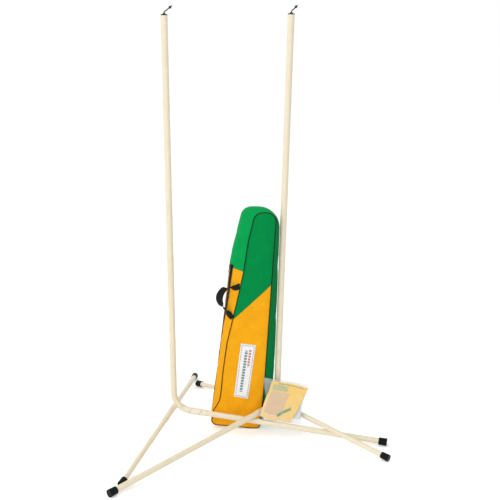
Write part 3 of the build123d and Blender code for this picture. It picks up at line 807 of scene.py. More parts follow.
settled = shell_points.copy()
piping_lines = np.concatenate([rim, panel_count + band_count + rim])
moved = relax(bag_shell, piping_lines, pressure=2.5, grow=0.005, frames=24)
shift = moved - shell_points
length = np.linalg.norm(shift, axis=1, keepdims=True)
limit = 0.005
shift *= limit * np.tanh(length / limit) / np.maximum(length, 1e-9)
rightward = shell_points[:, 0] > bag_origin + front_edges(shell_points[:, 2])[1] - 0.004
shift[rightward, 0] = np.clip(shift[rightward, 0], -0.002, 0)
settled += shift
print("cloth moved up to", round(float(length.max()) * 1000, 1), "mm, kept to", limit * 1000)

# Soft folds run up and to the right over the front's lower right corner.
fold_phase = (settled[:, 0] * 0.8 - settled[:, 2] * 0.6) * 2 * np.pi / 0.075
fold_near = np.exp(-(((settled[:, 0] + 0.01) / 0.05) ** 2) - (((settled[:, 2] - 0.13) / 0.11) ** 2))
on_front = np.zeros(len(settled))
on_front[:panel_count] = 1
on_front[rim] = 0
settled[:, 1] -= 0.0022 * np.sin(fold_phase) * fold_near * on_front
slack = np.clip(np.abs(settled[:, 1] - bag_front) / 0.010 + on_front, 0, 1)
slack[panel_count + band_count :][rim] = 0
sag = ripples(shell_points * [1, 0.3, 0.55], [(0.11, 0.0011, 5), (0.045, 0.0005, 6)], 11)
settled += (slack * sag)[:, None] * np.where(shell_points[:, 1:2] < bag_girth, -1, 1) * [0, 1, 0]

# Down the left gusset a low fold stands in front of the zip, which it covers from the front.
fold_depth = np.exp(-(((settled[:, 1] - bag_front - 0.034) / 0.009) ** 2))
fold_height = np.clip((0.54 - settled[:, 2]) / 0.10, 0, 1) * np.clip((settled[:, 2] - 0.03) / 0.06, 0, 1)
on_left = shell_points[:, 0] < bag_origin + (front_edges(shell_points[:, 2])[0] + 0.012)
settled[:, 0] -= 0.0055 * fold_depth * fold_height * on_left * (1 - on_front)
settled[:, 2] = np.maximum(settled[:, 2], np.minimum(shell_points[:, 2], 0.0004))
bag_shell.data.vertices.foreach_set("co", settled.ravel())
bag_shell.data.update()

finer = bag_shell.modifiers.new("finer", "SUBSURF")
finer.levels = finer.render_levels = 1

# %% [markdown]
# ## Piping
#
# A covered cord is sewn into both seams. Its path is the seam itself, which is a closed loop
# that the cloth step held still, so the cord can be a plain tube: a ring of 8 points at each
# station, P = path + r (cos a q + sin a y), where y is the bag's depth and q = y x tangent.


# %% Piping cords
def closed_tube(path, radius, around=8):
    """Points and faces of a tube along a closed path that lies nearly in an upright plane."""
    run = unit(np.roll(path, -1, axis=0) - np.roll(path, 1, axis=0))
    depth = np.broadcast_to([0.0, 1.0, 0.0], path.shape)
    aside = unit(np.cross(depth, run))
    a = np.linspace(0, 2 * np.pi, around, endpoint=False)[None, :, None]
    ring = path[:, None] + radius * (np.cos(a) * aside[:, None] + np.sin(a) * depth[:, None])
    stations = len(path)
    i, j = np.meshgrid(np.arange(stations), np.arange(around), indexing="ij")
    onward, over = (i + 1) % stations, (j + 1) % around
    corners = [i * around + j, i * around + over, onward * around + over, onward * around + j]
    return ring.reshape(-1, 3), np.stack(corners, -1).reshape(-1, 4)


def even_loop(loop, step):
    """A closed loop's points again, at equal steps of its length."""
    closed = np.vstack([loop, loop[:1]])
    length = np.concatenate([[0], np.linalg.norm(np.diff(closed, axis=0), axis=1).cumsum()])
    at = np.linspace(0, length[-1], int(length[-1] / step), endpoint=False)
    return np.stack([np.interp(at, length, closed[:, k]) for k in range(3)], -1)


cord_radius = 0.0019
for side, seam, stand_off in (("front", rim, -0.0012), ("back", panel_count + band_count + rim, 0.0012)):
    seam_line = even_loop(settled[seam] + [0, stand_off, 0], 0.005)
    seam_line[:, 2] = np.maximum(seam_line[:, 2], cord_radius)
    cord_points, cord_faces = closed_tube(seam_line, cord_radius)
    cord = make_piece(
        f"{side}_piping_cord", cord_points, cord_faces, black_piping, "bag"
    )
    face_outward(cord)
    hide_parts(f"bag_{side}_piping")

# %% [markdown]
# ## Zip
#
# The zip is a woven strip with a line of small teeth on it, sewn on the left gusset. The
# gusset's points already form a sheet with two directions, up the bag and across it, so the
# strip is drawn in those two: its middle starts halfway across and moves a little to the front
# on the way up. Below 0.55 m it lies up to about 5 mm further back, so there the slider runs
# beside the teeth. Its points are read off the sheet between the nearest four, and stand out
# along the sheet's own normal. Each tooth is a short block across the line, all in one mesh.


# %% Reading a sheet between its points
def read_sheet(sheet, row, col):
    """Points of a grid at fractional rows and columns, from the nearest four."""
    row = np.clip(row, 0, sheet.shape[0] - 1.001)
    col = np.clip(col, 0, sheet.shape[1] - 1.001)
    i, j = row.astype(int), col.astype(int)
    r, c = (row - i)[..., None], (col - j)[..., None]
    upper = sheet[i, j] * (1 - c) + sheet[i, j + 1] * c
    lower = sheet[i + 1, j] * (1 - c) + sheet[i + 1, j + 1] * c
    return upper * (1 - r) + lower * r


left_run = len(rim) - rows + 1
left_side = np.concatenate([loops[:, left_run:], loops[:, :1]], axis=1)[:, ::-1]
left_sheet = settled[left_side].transpose(1, 0, 2)  # row: up the bag, column: front to back
up_line = left_sheet[:, rings // 2, 2]
print("left gusset sheet", left_sheet.shape, "from", up_line[0], "to", up_line[-1])


gusset_width = 0.115  # seam to seam over the gusset's bulge


def on_gusset(height, aside, out):
    """Points on the left gusset, given a height, a distance from the zip's middle and a lift."""
    row = np.interp(height, up_line, np.arange(rows))
    up_share = (height - zip_low) / (zip_high - zip_low)
    tucked = 0.055 * np.clip((0.55 - height) / 0.15, 0, 1)
    depth_share = 0.5 - 0.03 * up_share + tucked + aside / gusset_width
    col = depth_share * (rings - 1)
    place = read_sheet(left_sheet, row, col)
    upward = read_sheet(left_sheet, row + 1.5, col) - read_sheet(left_sheet, row - 1.5, col)
    across = read_sheet(left_sheet, row, col + 1.5) - read_sheet(left_sheet, row, col - 1.5)
    normal = unit(np.cross(across, upward))
    normal = normal * np.where(normal[..., :1] > 0, -1, 1)
    return place + normal * np.asarray(out)[..., None]


# %% Zip strip and teeth
zip_low, zip_high = 0.095, 0.748
stations = np.linspace(zip_low, zip_high, 150)
profile = np.array(
    [(-12, 0.4), (-12, 0.8), (-6, 0.9), (-2, 1.0), (2, 1.0), (6, 0.9), (12, 0.8), (12, 0.4)]
) / 1000
pucker = 0.5 + 0.5 * np.sin(stations * 190)[:, None]
lift = profile[:, 1] + 0.0002 * pucker * (np.abs(profile[:, 0]) > 0.005)
strip = on_gusset(*np.broadcast_arrays(stations[:, None], profile[:, 0], lift))
strip_sides = len(profile)
strip_faces = quads_of(len(stations), strip_sides, around=True)
ends = np.array([[0, 1, 6, 7], [1, 2, 5, 6], [2, 3, 4, 5]])
strip_faces = np.vstack([strip_faces, ends[:, ::-1], ends + (len(stations) - 1) * strip_sides])

tooth_at = np.arange(zip_low + 0.003, zip_high - 0.003, 0.0024)
corner = np.array([(a, b, c) for a in (-1, 1) for b in (-1, 1) for c in (0, 1)], float)
lean_in = np.where(corner[:, 2] > 0, 0.75, 1.0)
tooth_height = tooth_at[:, None] + corner[:, 0] * 0.0008 * lean_in
shift_aside = np.where(np.arange(len(tooth_at)) % 2, 0.0005, -0.0005)[:, None]
tooth_aside = shift_aside + corner[:, 1] * 0.0019 * lean_in
tooth_out = 0.0009 + corner[:, 2] * 0.0012 + 0 * tooth_height
teeth = on_gusset(tooth_height, tooth_aside, tooth_out).reshape(-1, 3)
box_faces = np.array([[0, 1, 3, 2], [4, 6, 7, 5], [0, 4, 5, 1], [2, 3, 7, 6], [1, 5, 7, 3], [0, 2, 6, 4]])
teeth_faces = (box_faces + 8 * np.arange(len(tooth_at))[:, None, None]).reshape(-1, 4)
zip_faces = np.vstack([strip_faces, teeth_faces + len(stations) * strip_sides])
zip_points = np.vstack([strip.reshape(-1, 3), teeth])
zip_uv = np.stack([zip_points[:, 1], zip_points[:, 2]], -1)[zip_faces]
zip_index = np.concatenate([np.zeros(len(strip_faces)), np.ones(len(teeth_faces))])
zip_cloth = woven("zip tape", linear(20, 20, 22), threads=2600.0, shade=0.5, Specular_IOR_Level=0.15)
zip_teeth = coated(
    "zip teeth", linear(28, 28, 30), linear(70, 70, 70), 0.4, 400.0, 0.2, Specular_IOR_Level=0.2
)
zip_strip = make_piece(
    "zip_strip", zip_points, zip_faces, [zip_cloth, zip_teeth], "bag",
    uv=zip_uv, indices=zip_index, smooth=False,
)
face_outward(zip_strip)
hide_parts("bag_zip")
print(len(tooth_at), "teeth")

# %% [markdown]
# ## Webbing handle
#
# The handle is one flat strap. It is sewn flat to the seam at both ends, turns on edge where it
# is folded towards the grip, and lies flat again in the hand, where it is a little wider. So
# its width direction turns about the path: a = angle from flat, a hump one way before the grip
# and one the other way after it. Its section is a flat rounded bar carried along the path.

# %% Handle ribbon
handle_points = np.array([
    (-55.5, 24.5, 663), (-76, 24, 655), (-101, 27, 653), (-122, 33, 648), (-138, 38, 630),
    (-147, 42, 605), (-144, 42, 584), (-131, 38, 563), (-116, 32, 546), (-103, 26, 531), (-90.5, 24.5, 517),
]) / 1000
handle_path, handle_length = smooth_line(handle_points, 90)
tangent = unit(np.gradient(handle_path, axis=0))
s = np.linspace(0, 1, len(handle_path))
flat_way = unit(np.cross(tangent, np.array([0.30, 0.93, 0.06])))
face_way = unit(np.cross(flat_way, tangent))
on_edge = np.exp(-(((s - 0.23) / 0.075) ** 2)) - np.exp(-(((s - 0.76) / 0.075) ** 2))
grip = 1 + 0.28 * np.exp(-(((s - 0.51) / 0.13) ** 2))[:, None, None]
angle = (np.radians(78) * on_edge)[:, None]
wide = np.cos(angle) * flat_way + np.sin(angle) * face_way
thick = np.cross(tangent, wide)
strap_profile = np.array(
    [(-12.5, -0.5), (-11.8, -0.9), (0, -1), (11.8, -0.9), (12.5, -0.5), (12.5, 0.5), (11.8, 0.9),
     (0, 1), (-11.8, 0.9), (-12.5, 0.5)]
) / 1000
strap = (
    handle_path[:, None]
    + wide[:, None] * strap_profile[:, :1] * grip
    + thick[:, None] * strap_profile[:, 1:]
)
strap_sides = len(strap_profile)
strap_faces = quads_of(len(handle_path), strap_sides, around=True)
strap_points = strap.reshape(-1, 3)
cap_faces = np.array([[0, 1, 8, 9], [1, 2, 7, 8], [2, 3, 6, 7], [3, 4, 5, 6]])
tail = (len(handle_path) - 1) * strap_sides
strap_faces = np.vstack([strap_faces, cap_faces[:, ::-1], cap_faces + tail])
along_strap = np.repeat(s * handle_length, strap_sides)
across_strap = np.tile(strap_profile[:, 0], len(handle_path))
strap_uv = np.stack([along_strap, across_strap], -1)[strap_faces]
webbing = woven(
    "webbing", linear(22, 22, 23), threads=2100.0, shade=0.8, depth=1.0, Specular_IOR_Level=0.15
)
handle = make_piece("handle_strap", strap_points, strap_faces, webbing, "bag", uv=strap_uv)
face_outward(handle)
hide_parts("bag_handle")
print("handle path", round(handle_length * 1000), "mm")

# %% [markdown]
# ## Label patch
#
# A thin printed patch, sewn on the front, follows the cloth beneath it: the front's own sheet
# is read at the patch's points, and the patch lies just off it. Its print is generic: a dashed
# border and two rows of plain blocks.

# %% Label patch
label_corners = np.array([(-54.5, 404), (10.9, 394.6), (-24.8, 143.7), (-86.7, 155.7)]) / 1000
label_rows, label_cols = 60, 17
down_share, side_share = np.meshgrid(
    np.linspace(0, 1, label_rows), np.linspace(0, 1, label_cols), indexing="ij"
)
top_left, top_right, low_right, low_left = label_corners
upper = top_left + (top_right - top_left) * side_share[..., None]
lower = low_left + (low_right - low_left) * side_share[..., None]
label_plan = upper + (lower - upper) * down_share[..., None]
front_sheet = settled[:panel_count].reshape(rows, cols, 3)
label_x, label_z = label_plan.reshape(-1, 2).T
label_row = np.interp(label_z, front_sheet[:, cols // 2, 2], np.arange(rows))
left_of = read_sheet(front_sheet, label_row, np.zeros_like(label_row))[:, 0]
right_of = read_sheet(front_sheet, label_row, np.full_like(label_row, cols))[:, 0]
label_col = np.interp((label_x - left_of) / (right_of - left_of), spread, np.arange(cols))
label_y = read_sheet(front_sheet, label_row, label_col)[:, 1]
label_front = np.stack([label_x, label_y - 0.0014, label_z], -1)
label_behind = label_front + [0, 0.0007, 0]
label_points = np.vstack([label_front, label_behind])
count = len(label_front)
rim_grid = np.arange(count).reshape(label_rows, label_cols)
label_rim = np.concatenate(
    [rim_grid[0, :-1], rim_grid[:-1, -1], rim_grid[-1, :0:-1], rim_grid[:0:-1, 0]]
)
next_rim = np.roll(label_rim, -1)
edge = np.stack([label_rim, next_rim, next_rim + count, label_rim + count], -1)
label_faces = np.vstack(
    [quads_of(label_rows, label_cols), quads_of(label_rows, label_cols, start=count)[:, ::-1], edge]
)
label_wide, label_long = 0.066, 0.2535
label_plane = np.stack([side_share.ravel() * label_wide, down_share.ravel() * label_long], -1)
label_uv = np.vstack([label_plane, label_plane])[label_faces]


def block(tree, x, y, low, high):
    """1 inside a rectangle of the piece's own plane and 0 outside it, with a soft edge."""
    middle = [(a + b) / 2 for a, b in zip(low, high)]
    half = [(b - a) / 2 for a, b in zip(low, high)]
    inside = []
    for value, centre, reach in zip((x, y), middle, half):
        off = tree.math("ABSOLUTE", tree.math("SUBTRACT", value, centre))
        inside.append(tree.ramp(off, reach - 0.0005, reach + 0.0005, 1.0, 0.0))
    return tree.math("MULTIPLY", *inside)


def border_material():
    """White coated cloth with a dashed border printed a little way in from its edge."""
    material, tree, shader, where = start_material("label patch")
    parts = tree.add("SeparateXYZ", Vector=where.outputs["UV"])
    u, v = parts.outputs[0], parts.outputs[1]
    off_middle = tree.math("ABSOLUTE", tree.math("SUBTRACT", u, label_wide / 2))
    from_side = tree.math("SUBTRACT", label_wide / 2, off_middle)
    off_centre = tree.math("ABSOLUTE", tree.math("SUBTRACT", v, label_long / 2))
    from_end = tree.math("SUBTRACT", label_long / 2, off_centre)
    nearest = tree.math("MINIMUM", from_side, from_end)
    off_line = tree.math("ABSOLUTE", tree.math("SUBTRACT", nearest, 0.0065))
    line = tree.ramp(off_line, 0.0012, 0.0018, 1.0, 0.0)
    turn = tree.math("LESS_THAN", from_side, from_end)
    along = tree.math("MULTIPLY_ADD", turn, tree.math("SUBTRACT", v, u), u)
    dashes = tree.ramp(tree.math("SINE", tree.math("MULTIPLY", along, 620.0)), -0.7, -0.4)
    ink = tree.math("MULTIPLY", line, dashes)
    made = use_group(tree, weave, Cloth=where.outputs["UV"], Colour=linear(244, 244, 246), Shade=0.08)
    colour = tree.mix(tree.math("MULTIPLY", ink, 0.9), made.outputs["Colour"], linear(96, 112, 116))
    beats = tree.ramp(tree.math("SINE", tree.math("MULTIPLY", v, 480.0)), -0.75, -0.6)
    long_bar = tree.math("MULTIPLY", block(tree, u, v, (0.022, 0.030), (0.035, 0.226)), beats)
    colour = tree.mix(tree.math("MULTIPLY", long_bar, 0.85), colour, linear(30, 112, 88))
    short_bar = tree.math("MULTIPLY", block(tree, u, v, (0.040, 0.022), (0.050, 0.105)), beats)
    colour = tree.mix(tree.math("MULTIPLY", short_bar, 0.85), colour, linear(214, 50, 56))
    tree.put(shader, "Base Color", colour)
    connect(tree, made, shader)
    return material


label = make_piece(
    "label_patch", label_points, label_faces, border_material(), "bag", uv=label_uv
)
face_outward(label)
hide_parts("bag_label")

# %% [markdown]
# ## Tape round the tube
#
# Tape wound in a slant overlaps itself, so each turn ends in a small step. Along the tube by
# s and round it by a, the turn number is n = s / pitch - a / 2 pi, and the tape stands out by
# its thickness times the part of n after the point: a saw edge that runs round as a helix.


# %% Tape wraps
def wound(path, radius, pitch, thickness, around=48):
    """Points of a tube whose skin is a wound strip, with stations along a path."""
    run = unit(np.gradient(path, axis=0))
    side = unit(np.cross(run, (0.0, 0.0, 1.0)))
    other = np.cross(side, run)
    stop = np.concatenate([[0], np.linalg.norm(np.diff(path, axis=0), axis=1).cumsum()])
    a = np.linspace(0, 2 * np.pi, around, endpoint=False)
    turn = (stop[:, None] / pitch - a / (2 * np.pi)) % 1.0
    step = thickness * np.clip(turn * 8, 0, 1) * (1 - 0.45 * turn)
    distance = radius[:, None] + 0.0003 + step
    ring = np.cos(a)[:, None] * side[:, None] + np.sin(a)[:, None] * other[:, None]
    return path[:, None] + ring * distance[..., None], stop


def wound_material(pitch):
    """Cream tape whose edges show as darker lines, on cloth coordinates in turns and metres."""
    material, tree, shader, where = start_material("wound tape")
    parts = tree.add("SeparateXYZ", Vector=where.outputs["UV"])
    turns = tree.math("DIVIDE", parts.outputs[0], pitch)
    turn = tree.math("FRACT", tree.math("SUBTRACT", turns, parts.outputs[1]))
    edge = tree.ramp(tree.math("ABSOLUTE", tree.math("SUBTRACT", turn, 0.5)), 0.42, 0.49)
    colour = tree.mix(tree.math("MULTIPLY", edge, 0.55), linear(242, 233, 212), linear(196, 178, 142))
    made = use_group(
        tree, grain, Place=where.outputs["Object"], Colour=colour, Wear=linear(228, 213, 182),
        Amount=0.35, Size=60.0, Depth=0.2,
    )
    tree.put(shader, "Base Color", made.outputs["Colour"])
    connect(tree, made, shader)
    shader.inputs["Specular IOR Level"].default_value = 0.3
    return material


def tape_piece(name, path, radius, pitch, thickness, body, *replaced):
    """A closed sleeve of wound tape, with its ends drawn in to the tube."""
    outer, stop = wound(path, radius, pitch, thickness)
    inner_first = path[:1, None] + (outer[:1] - path[:1, None]) * 0.985
    inner_last = path[-1:, None] + (outer[-1:] - path[-1:, None]) * 0.985
    rows_of = np.vstack([inner_first, outer, inner_last])
    count_round = rows_of.shape[1]
    faces = quads_of(len(rows_of), count_round, around=True)
    along = np.concatenate([[0], stop, stop[-1:]])
    i, j = np.meshgrid(np.arange(len(rows_of) - 1), np.arange(count_round), indexing="ij")
    u = along[np.stack([i, i, i + 1, i + 1], -1).reshape(-1, 4)]
    v = np.stack([j, j + 1, j + 1, j], -1).reshape(-1, 4) / count_round
    uv = np.stack([u, v], -1)
    tape_look = wound_material(pitch)
    made = make_piece(name, rows_of.reshape(-1, 3), faces, tape_look, body, uv=uv)
    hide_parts(*replaced)


# The left stand's corner is where its pole's axis comes down to the height of the leg's axis.
corner_height = 0.0955
left_way = unit(np.array(joints["left_leg_pull"]["axis"], float))
pole_up = unit(np.array(joints["left_upper_pole_pull"]["axis"], float))
pole_top = np.array(joints["left_hook_swivel"]["pos_m"], float)
left_corner = pole_top - pole_up * (pole_top[2] - corner_height) / pole_up[2]
flat_way_left = unit(left_way - pole_up * (left_way @ pole_up))
droop = math.atan2(-left_way @ pole_up, left_way @ flat_way_left)
bend = 0.080
bend_rise = bend * (1 - math.sin(droop)) / math.cos(droop)
bend_middle = left_corner + flat_way_left * bend + pole_up * bend_rise
wrap_angles = np.linspace(math.radians(270 - 32) - droop, math.radians(270) - droop, 30)
arc = bend_middle + bend * (
    np.cos(wrap_angles)[:, None] * flat_way_left + np.sin(wrap_angles)[:, None] * pole_up
)
stub_end = left_corner + left_way * 0.125
straight = np.linspace(arc[-1], stub_end + left_way * 0.0006, 34)[1:]
on_leg = np.linspace(stub_end + left_way * 0.0016, left_corner + left_way * 0.150, 14)
wrap_path = np.vstack([arc, straight, on_leg])
wrap_radius = np.concatenate([np.full(len(arc) + len(straight), 0.014), np.full(len(on_leg), 0.0125)])
tape_piece(
    "leg_tape_wrap", wrap_path, wrap_radius, 0.046, 0.0009, "left_stand", "left_leg_wrap"
)

# %% [markdown]
# ## Clear pouch
#
# The pouch is two sheets of clear film, welded round the rim, with a leaflet against the front
# and the folded net behind it. Its plane is the CAD pouch's own: turned a little off the leg
# that it rests on, leaning back, and centred on that pouch's rim, which is measured along the
# plane's two directions. Lying over its load it has lost its square shape: the top right
# corner is pulled out and the lower left one is folded under. So its rim is four curves, each
# through a few points, and a sheet in it is (1) a square grid (u, v) carried to
# x = L(y) + u (R(y) - L(y)), y = B(x) + v (T(x) - B(x)), and (2) raised over its load by
# d ((1 - |2u - 1|^a)(1 - |2v - 1|^a))^b. Film under tension creases in straight lines from its
# corners, and those are added last.

# %% The pouch's plane and rim
pouch_turn, pouch_lean = math.radians(5.0), math.radians(22.0)
leg_up = unit(np.array([0, 0, 1.0]) - left_way * left_way[2])
pouch_x = left_way * math.cos(pouch_turn) + np.cross(leg_up, left_way) * math.sin(pouch_turn)
pouch_y = leg_up * math.cos(pouch_lean) + np.cross(leg_up, pouch_x) * math.sin(pouch_lean)
pouch_z = np.cross(pouch_x, pouch_y)
pouch_ways = np.array([pouch_x, pouch_y, pouch_z])
cad_film = np.array([vertex.co for vertex in nodes["pouch_front_film"].data.vertices]) @ pouch_ways.T
film_low, film_high = cad_film.min(0), cad_film.max(0)
film_middle = np.array([*(film_low + film_high)[:2] / 2, film_low[2]])  # where the films meet
pouch_origin = film_middle @ pouch_ways
print("pouch's middle", pouch_origin.round(5))
rim_left = np.array([(-75, -86), (-30, -77), (7, -69), (50, -82), (91, -89)]) / 1000
rim_right = np.array([(-88, 96), (-41, 92.5), (-9, 92), (24, 98), (57, 107), (88, 116)]) / 1000
rim_low = np.array([(-86, -76), (-70, -89), (-44, -91), (-2, -88), (50, -91), (96, -88)]) / 1000
rim_high = np.array([(-89, 91), (-37, 89), (3, 91), (59, 86.5), (116, 87.5)]) / 1000


def in_pouch(x, y, z):
    """Points given across, up and out from the pouch's middle."""
    x, y, z = np.broadcast_arrays(x, y, z)
    return pouch_origin + x[..., None] * pouch_x + y[..., None] * pouch_y + z[..., None] * pouch_z


def along_rim(side, at):
    """A rim curve's offset at places along it."""
    return np.interp(at, side[:, 0], side[:, 1])


def in_rim(u, v):
    """The square's points (u, v) from 0 to 1, carried into the rim by settling x and y in turn."""
    x, y = 0.19 * (u - 0.5), 0.18 * (v - 0.5)
    for _ in range(12):
        left_x, right_x = along_rim(rim_left, y), along_rim(rim_right, y)
        x = left_x + u * (right_x - left_x)
        low_y, high_y = along_rim(rim_low, x), along_rim(rim_high, x)
        y = low_y + v * (high_y - low_y)
    return x, y


def raised(x, y, depth):
    """How far a sheet at (x, y) stands out over its load, zero on the rim."""
    left_x, right_x = along_rim(rim_left, y), along_rim(rim_right, y)
    low_y, high_y = along_rim(rim_low, x), along_rim(rim_high, x)
    aside = np.clip(np.abs(2 * (x - left_x) / (right_x - left_x) - 1), 0, 1)
    above = np.clip(np.abs(2 * (y - low_y) / (high_y - low_y) - 1), 0, 1)
    return depth * ((1 - aside**3.2) * (1 - above**3.2)) ** 0.7


# %% Film sheets
def creases(x, y, height, seed):
    """Film creases: narrow ridges along straight lines that fan out from the rim's corners."""
    chance = np.random.default_rng(seed)
    total = np.zeros_like(x)
    for corner_x, corner_y in ((-0.086, -0.076), (0.096, -0.088), (0.116, 0.088), (-0.089, 0.091)):
        turn = np.arctan2(y - corner_y, x - corner_x)
        away = np.hypot(y - corner_y, x - corner_x)
        fade = np.exp(-away / 0.08) * np.clip(away / 0.02, 0, 1)
        ridge = (1 - np.abs(np.sin(9 * turn + chance.uniform(0, 6.3)))) ** 3
        total += height * fade * ridge
    return total


def film_sheet(depth, side, seed):
    """One film of the pouch as a sheet with its rim in the pouch's plane."""
    n = 80
    u, v = np.meshgrid(np.linspace(0, 1, n), np.linspace(0, 1, n), indexing="ij")
    x, y = in_rim(u, v)
    within = 1 - np.maximum(np.abs(2 * u - 1), np.abs(2 * v - 1)) ** 10
    z = side * (raised(x, y, depth) + creases(x, y, 0.004, seed) * within)
    points = in_pouch(x, y, z).reshape(-1, 3)
    plane = np.stack([x.ravel(), y.ravel()], -1)
    faces = quads_of(n, n)[:, :: int(side)]
    return points, faces, plane[faces]


def clear_material(name, milky):
    """Clear film: a thin glossy sheet that lets light through, with whiter, less clear streaks that are
    partly milky creases and partly painted highlight.
    """
    material, tree, shader, where = start_material(name)
    turned = tree.add("Mapping", Vector=where.outputs["UV"], Rotation=(0, 0, 0.9), Scale=(14, 70, 1))
    streaks = tree.add("TexNoise", Vector=turned.outputs[0], Scale=1.0, Detail=2.0)
    patches = tree.add("TexNoise", Vector=where.outputs["UV"], Scale=22.0, Detail=2.0)
    streak = tree.ramp(streaks.outputs[0], 0.55, 0.75)
    patch = tree.ramp(patches.outputs[0], 0.45, 0.7)
    # The streaks are whitened and made less clear: partly milky creases, partly a painted highlight of
    # glare.
    milky_glare = tree.math("MULTIPLY", streak, patch)
    bump = tree.add("Bump", Height=milky_glare, Strength=0.4, Distance=0.0015)
    tree.put(shader, "Base Color", tree.mix(milky_glare, linear(240, 241, 243), linear(250, 250, 252)))
    tree.put(shader, "Roughness", 0.18)
    tree.put(shader, "Normal", bump.outputs[0])
    tree.put(shader, "Alpha", tree.ramp(milky_glare, 0.0, 1.0, milky, milky + 0.25))
    return material


front_points, front_faces, front_plane = film_sheet(0.0072, 1, 3)
front_film = make_piece(
    "pouch_film_front", front_points, front_faces, clear_material("clear film", 0.13), "pouch",
    uv=front_plane,
)
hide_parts("pouch_front_film")
back_points, back_faces, back_plane = film_sheet(0.027, -1, 8)
back_film = make_piece(
    "pouch_film_back", back_points, back_faces, clear_material("cloudy film", 0.35), "pouch",
    uv=back_plane,
)
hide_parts("pouch_back_film")

# %% [markdown]
# ## Leaflet
#
# A folded sheet of coated paper fills most of the pouch and takes its shape: its four edges are
# curves through a few points, its inside is the Coons patch between them (the two ruled sheets
# added, less the one through the corners), and it lies just under the front film.

# %% Leaflet
leaf_top = np.array([(-52, 79.7), (-21, 81.5), (44, 78.5), (110, 68)]) / 1000
leaf_low = np.array([(-87.5, -75), (-44, -88.5), (-2, -86), (46.5, -88.5)]) / 1000
leaf_left = np.array([(-87.5, -75), (-81, -46), (-70.5, 3.6), (-58.8, 40), (-52, 79.7)]) / 1000
leaf_right = np.array([(46.5, -88.5), (75.3, -30), (95, 23.4), (110, 68)]) / 1000


def at_share(edge, share):
    """Points at shares of an edge's length."""
    length = np.concatenate([[0], np.linalg.norm(np.diff(edge, axis=0), axis=1).cumsum()])
    length /= length[-1]
    return np.stack([np.interp(share, length, edge[:, k]) for k in range(2)], -1)


leaf = 48
u, v = np.meshgrid(np.linspace(0, 1, leaf), np.linspace(0, 1, leaf), indexing="ij")
up, over = v[..., None], u[..., None]
ruled = at_share(leaf_low, u) * (1 - up) + at_share(leaf_top, u) * up
ruled = ruled + at_share(leaf_left, v) * (1 - over) + at_share(leaf_right, v) * over
through = (leaf_low[0] * (1 - over) + leaf_low[-1] * over) * (1 - up)
through = through + (leaf_top[0] * (1 - over) + leaf_top[-1] * over) * up
leaf_x, leaf_y = np.moveaxis(ruled - through, -1, 0)
leaf_z = raised(leaf_x, leaf_y, 0.0072) - 0.0010 + 0.5 * creases(leaf_x, leaf_y, 0.004, 3)
leaf_points = in_pouch(leaf_x, leaf_y, leaf_z).reshape(-1, 3)
leaf_faces = quads_of(leaf, leaf)
paper_wide, paper_tall = 0.150, 0.158
leaf_uv = np.stack([u.ravel() * paper_wide, v.ravel() * paper_tall], -1)[leaf_faces]


def leaflet_material():
    """Warm coated paper with plain tinted blocks, and no words or pictures."""
    material, tree, shader, where = start_material("leaflet paper")
    parts = tree.add("SeparateXYZ", Vector=where.outputs["UV"])
    x, y = parts.outputs[0], parts.outputs[1]
    fade = tree.ramp(tree.math("MULTIPLY_ADD", x, 0.8, y), 0.05, 0.20)
    paper = tree.mix(fade, linear(244, 208, 140), linear(250, 207, 84))
    panel = block(tree, x, y, (0.012, 0.022), (0.090, 0.118))
    colour = tree.mix(tree.math("MULTIPLY", panel, 0.8), paper, linear(216, 184, 150))
    head = block(tree, x, y, (0.012, 0.122), (0.076, 0.146))
    colour = tree.mix(tree.math("MULTIPLY", head, 0.65), colour, linear(150, 180, 150))
    turned = tree.add("Mapping", Vector=where.outputs["UV"], Rotation=(0, 0, -0.75))
    slanted = tree.add("SeparateXYZ", Vector=turned.outputs[0])
    strip = block(tree, slanted.outputs[0], slanted.outputs[1], (0.070, -0.046), (0.128, -0.032))
    colour = tree.mix(tree.math("MULTIPLY", strip, 0.85), colour, linear(30, 140, 80))
    heading = block(tree, x, y, (0.030, 0.1485), (0.134, 0.1525))
    colour = tree.mix(tree.math("MULTIPLY", heading, 0.6), colour, linear(120, 120, 60))
    made = use_group(
        tree, grain, Place=where.outputs["Object"], Colour=colour, Wear=linear(244, 234, 206),
        Amount=0.2, Size=40.0, Depth=0.1,
    )
    tree.put(shader, "Base Color", made.outputs["Colour"])
    connect(tree, made, shader)
    shader.inputs["Specular IOR Level"].default_value = 0.2
    return material


leaflet = make_piece(
    "leaflet", leaf_points, leaf_faces, leaflet_material(), "pouch", uv=leaf_uv
)
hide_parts("pouch_leaflet")

# %% [markdown]
# ## Folded net
#
# The net is one long strip of knotted mesh, folded back and forth into five layers that fill the pouch
# behind the leaflet. Its path through the stack is a serpentine: straight runs joined by half turns. A
# diamond pattern on the sheet's own length and width keeps the yarns solid and leaves the sheet partly clear
# between them.

# %% Net sheet
layers, layer_pitch, net_half, net_tall = 5, 0.0048, 0.062, 0.128
route = []
for layer in range(layers):
    side = 1 if layer % 2 == 0 else -1
    depth_at = -0.0025 - layer * layer_pitch
    for step in np.linspace(-1, 1, 26):
        route.append((side * step * net_half, depth_at))
    if layer < layers - 1:
        for turn_angle in np.linspace(0, math.pi, 9)[1:-1]:
            reach_x = side * (net_half + math.sin(turn_angle) * layer_pitch / 2)
            route.append((reach_x, depth_at - (1 - math.cos(turn_angle)) * layer_pitch / 2))
route = np.array(route)
route_length = np.concatenate([[0], np.linalg.norm(np.diff(route, axis=0), axis=1).cumsum()])
net_rows = 34
tall = np.linspace(-1, 1, net_rows)
wobble = ripples(np.stack([route_length, route_length * 0], -1), [(0.07, 0.0012, 3)], 5)
net_x = route[:, 0][:, None] + 0.024 + 0.002 * np.sin(tall * 5 + route_length[:, None] * 30)
net_z = route[:, 1][:, None] + wobble[:, None] * np.cos(tall * 3)
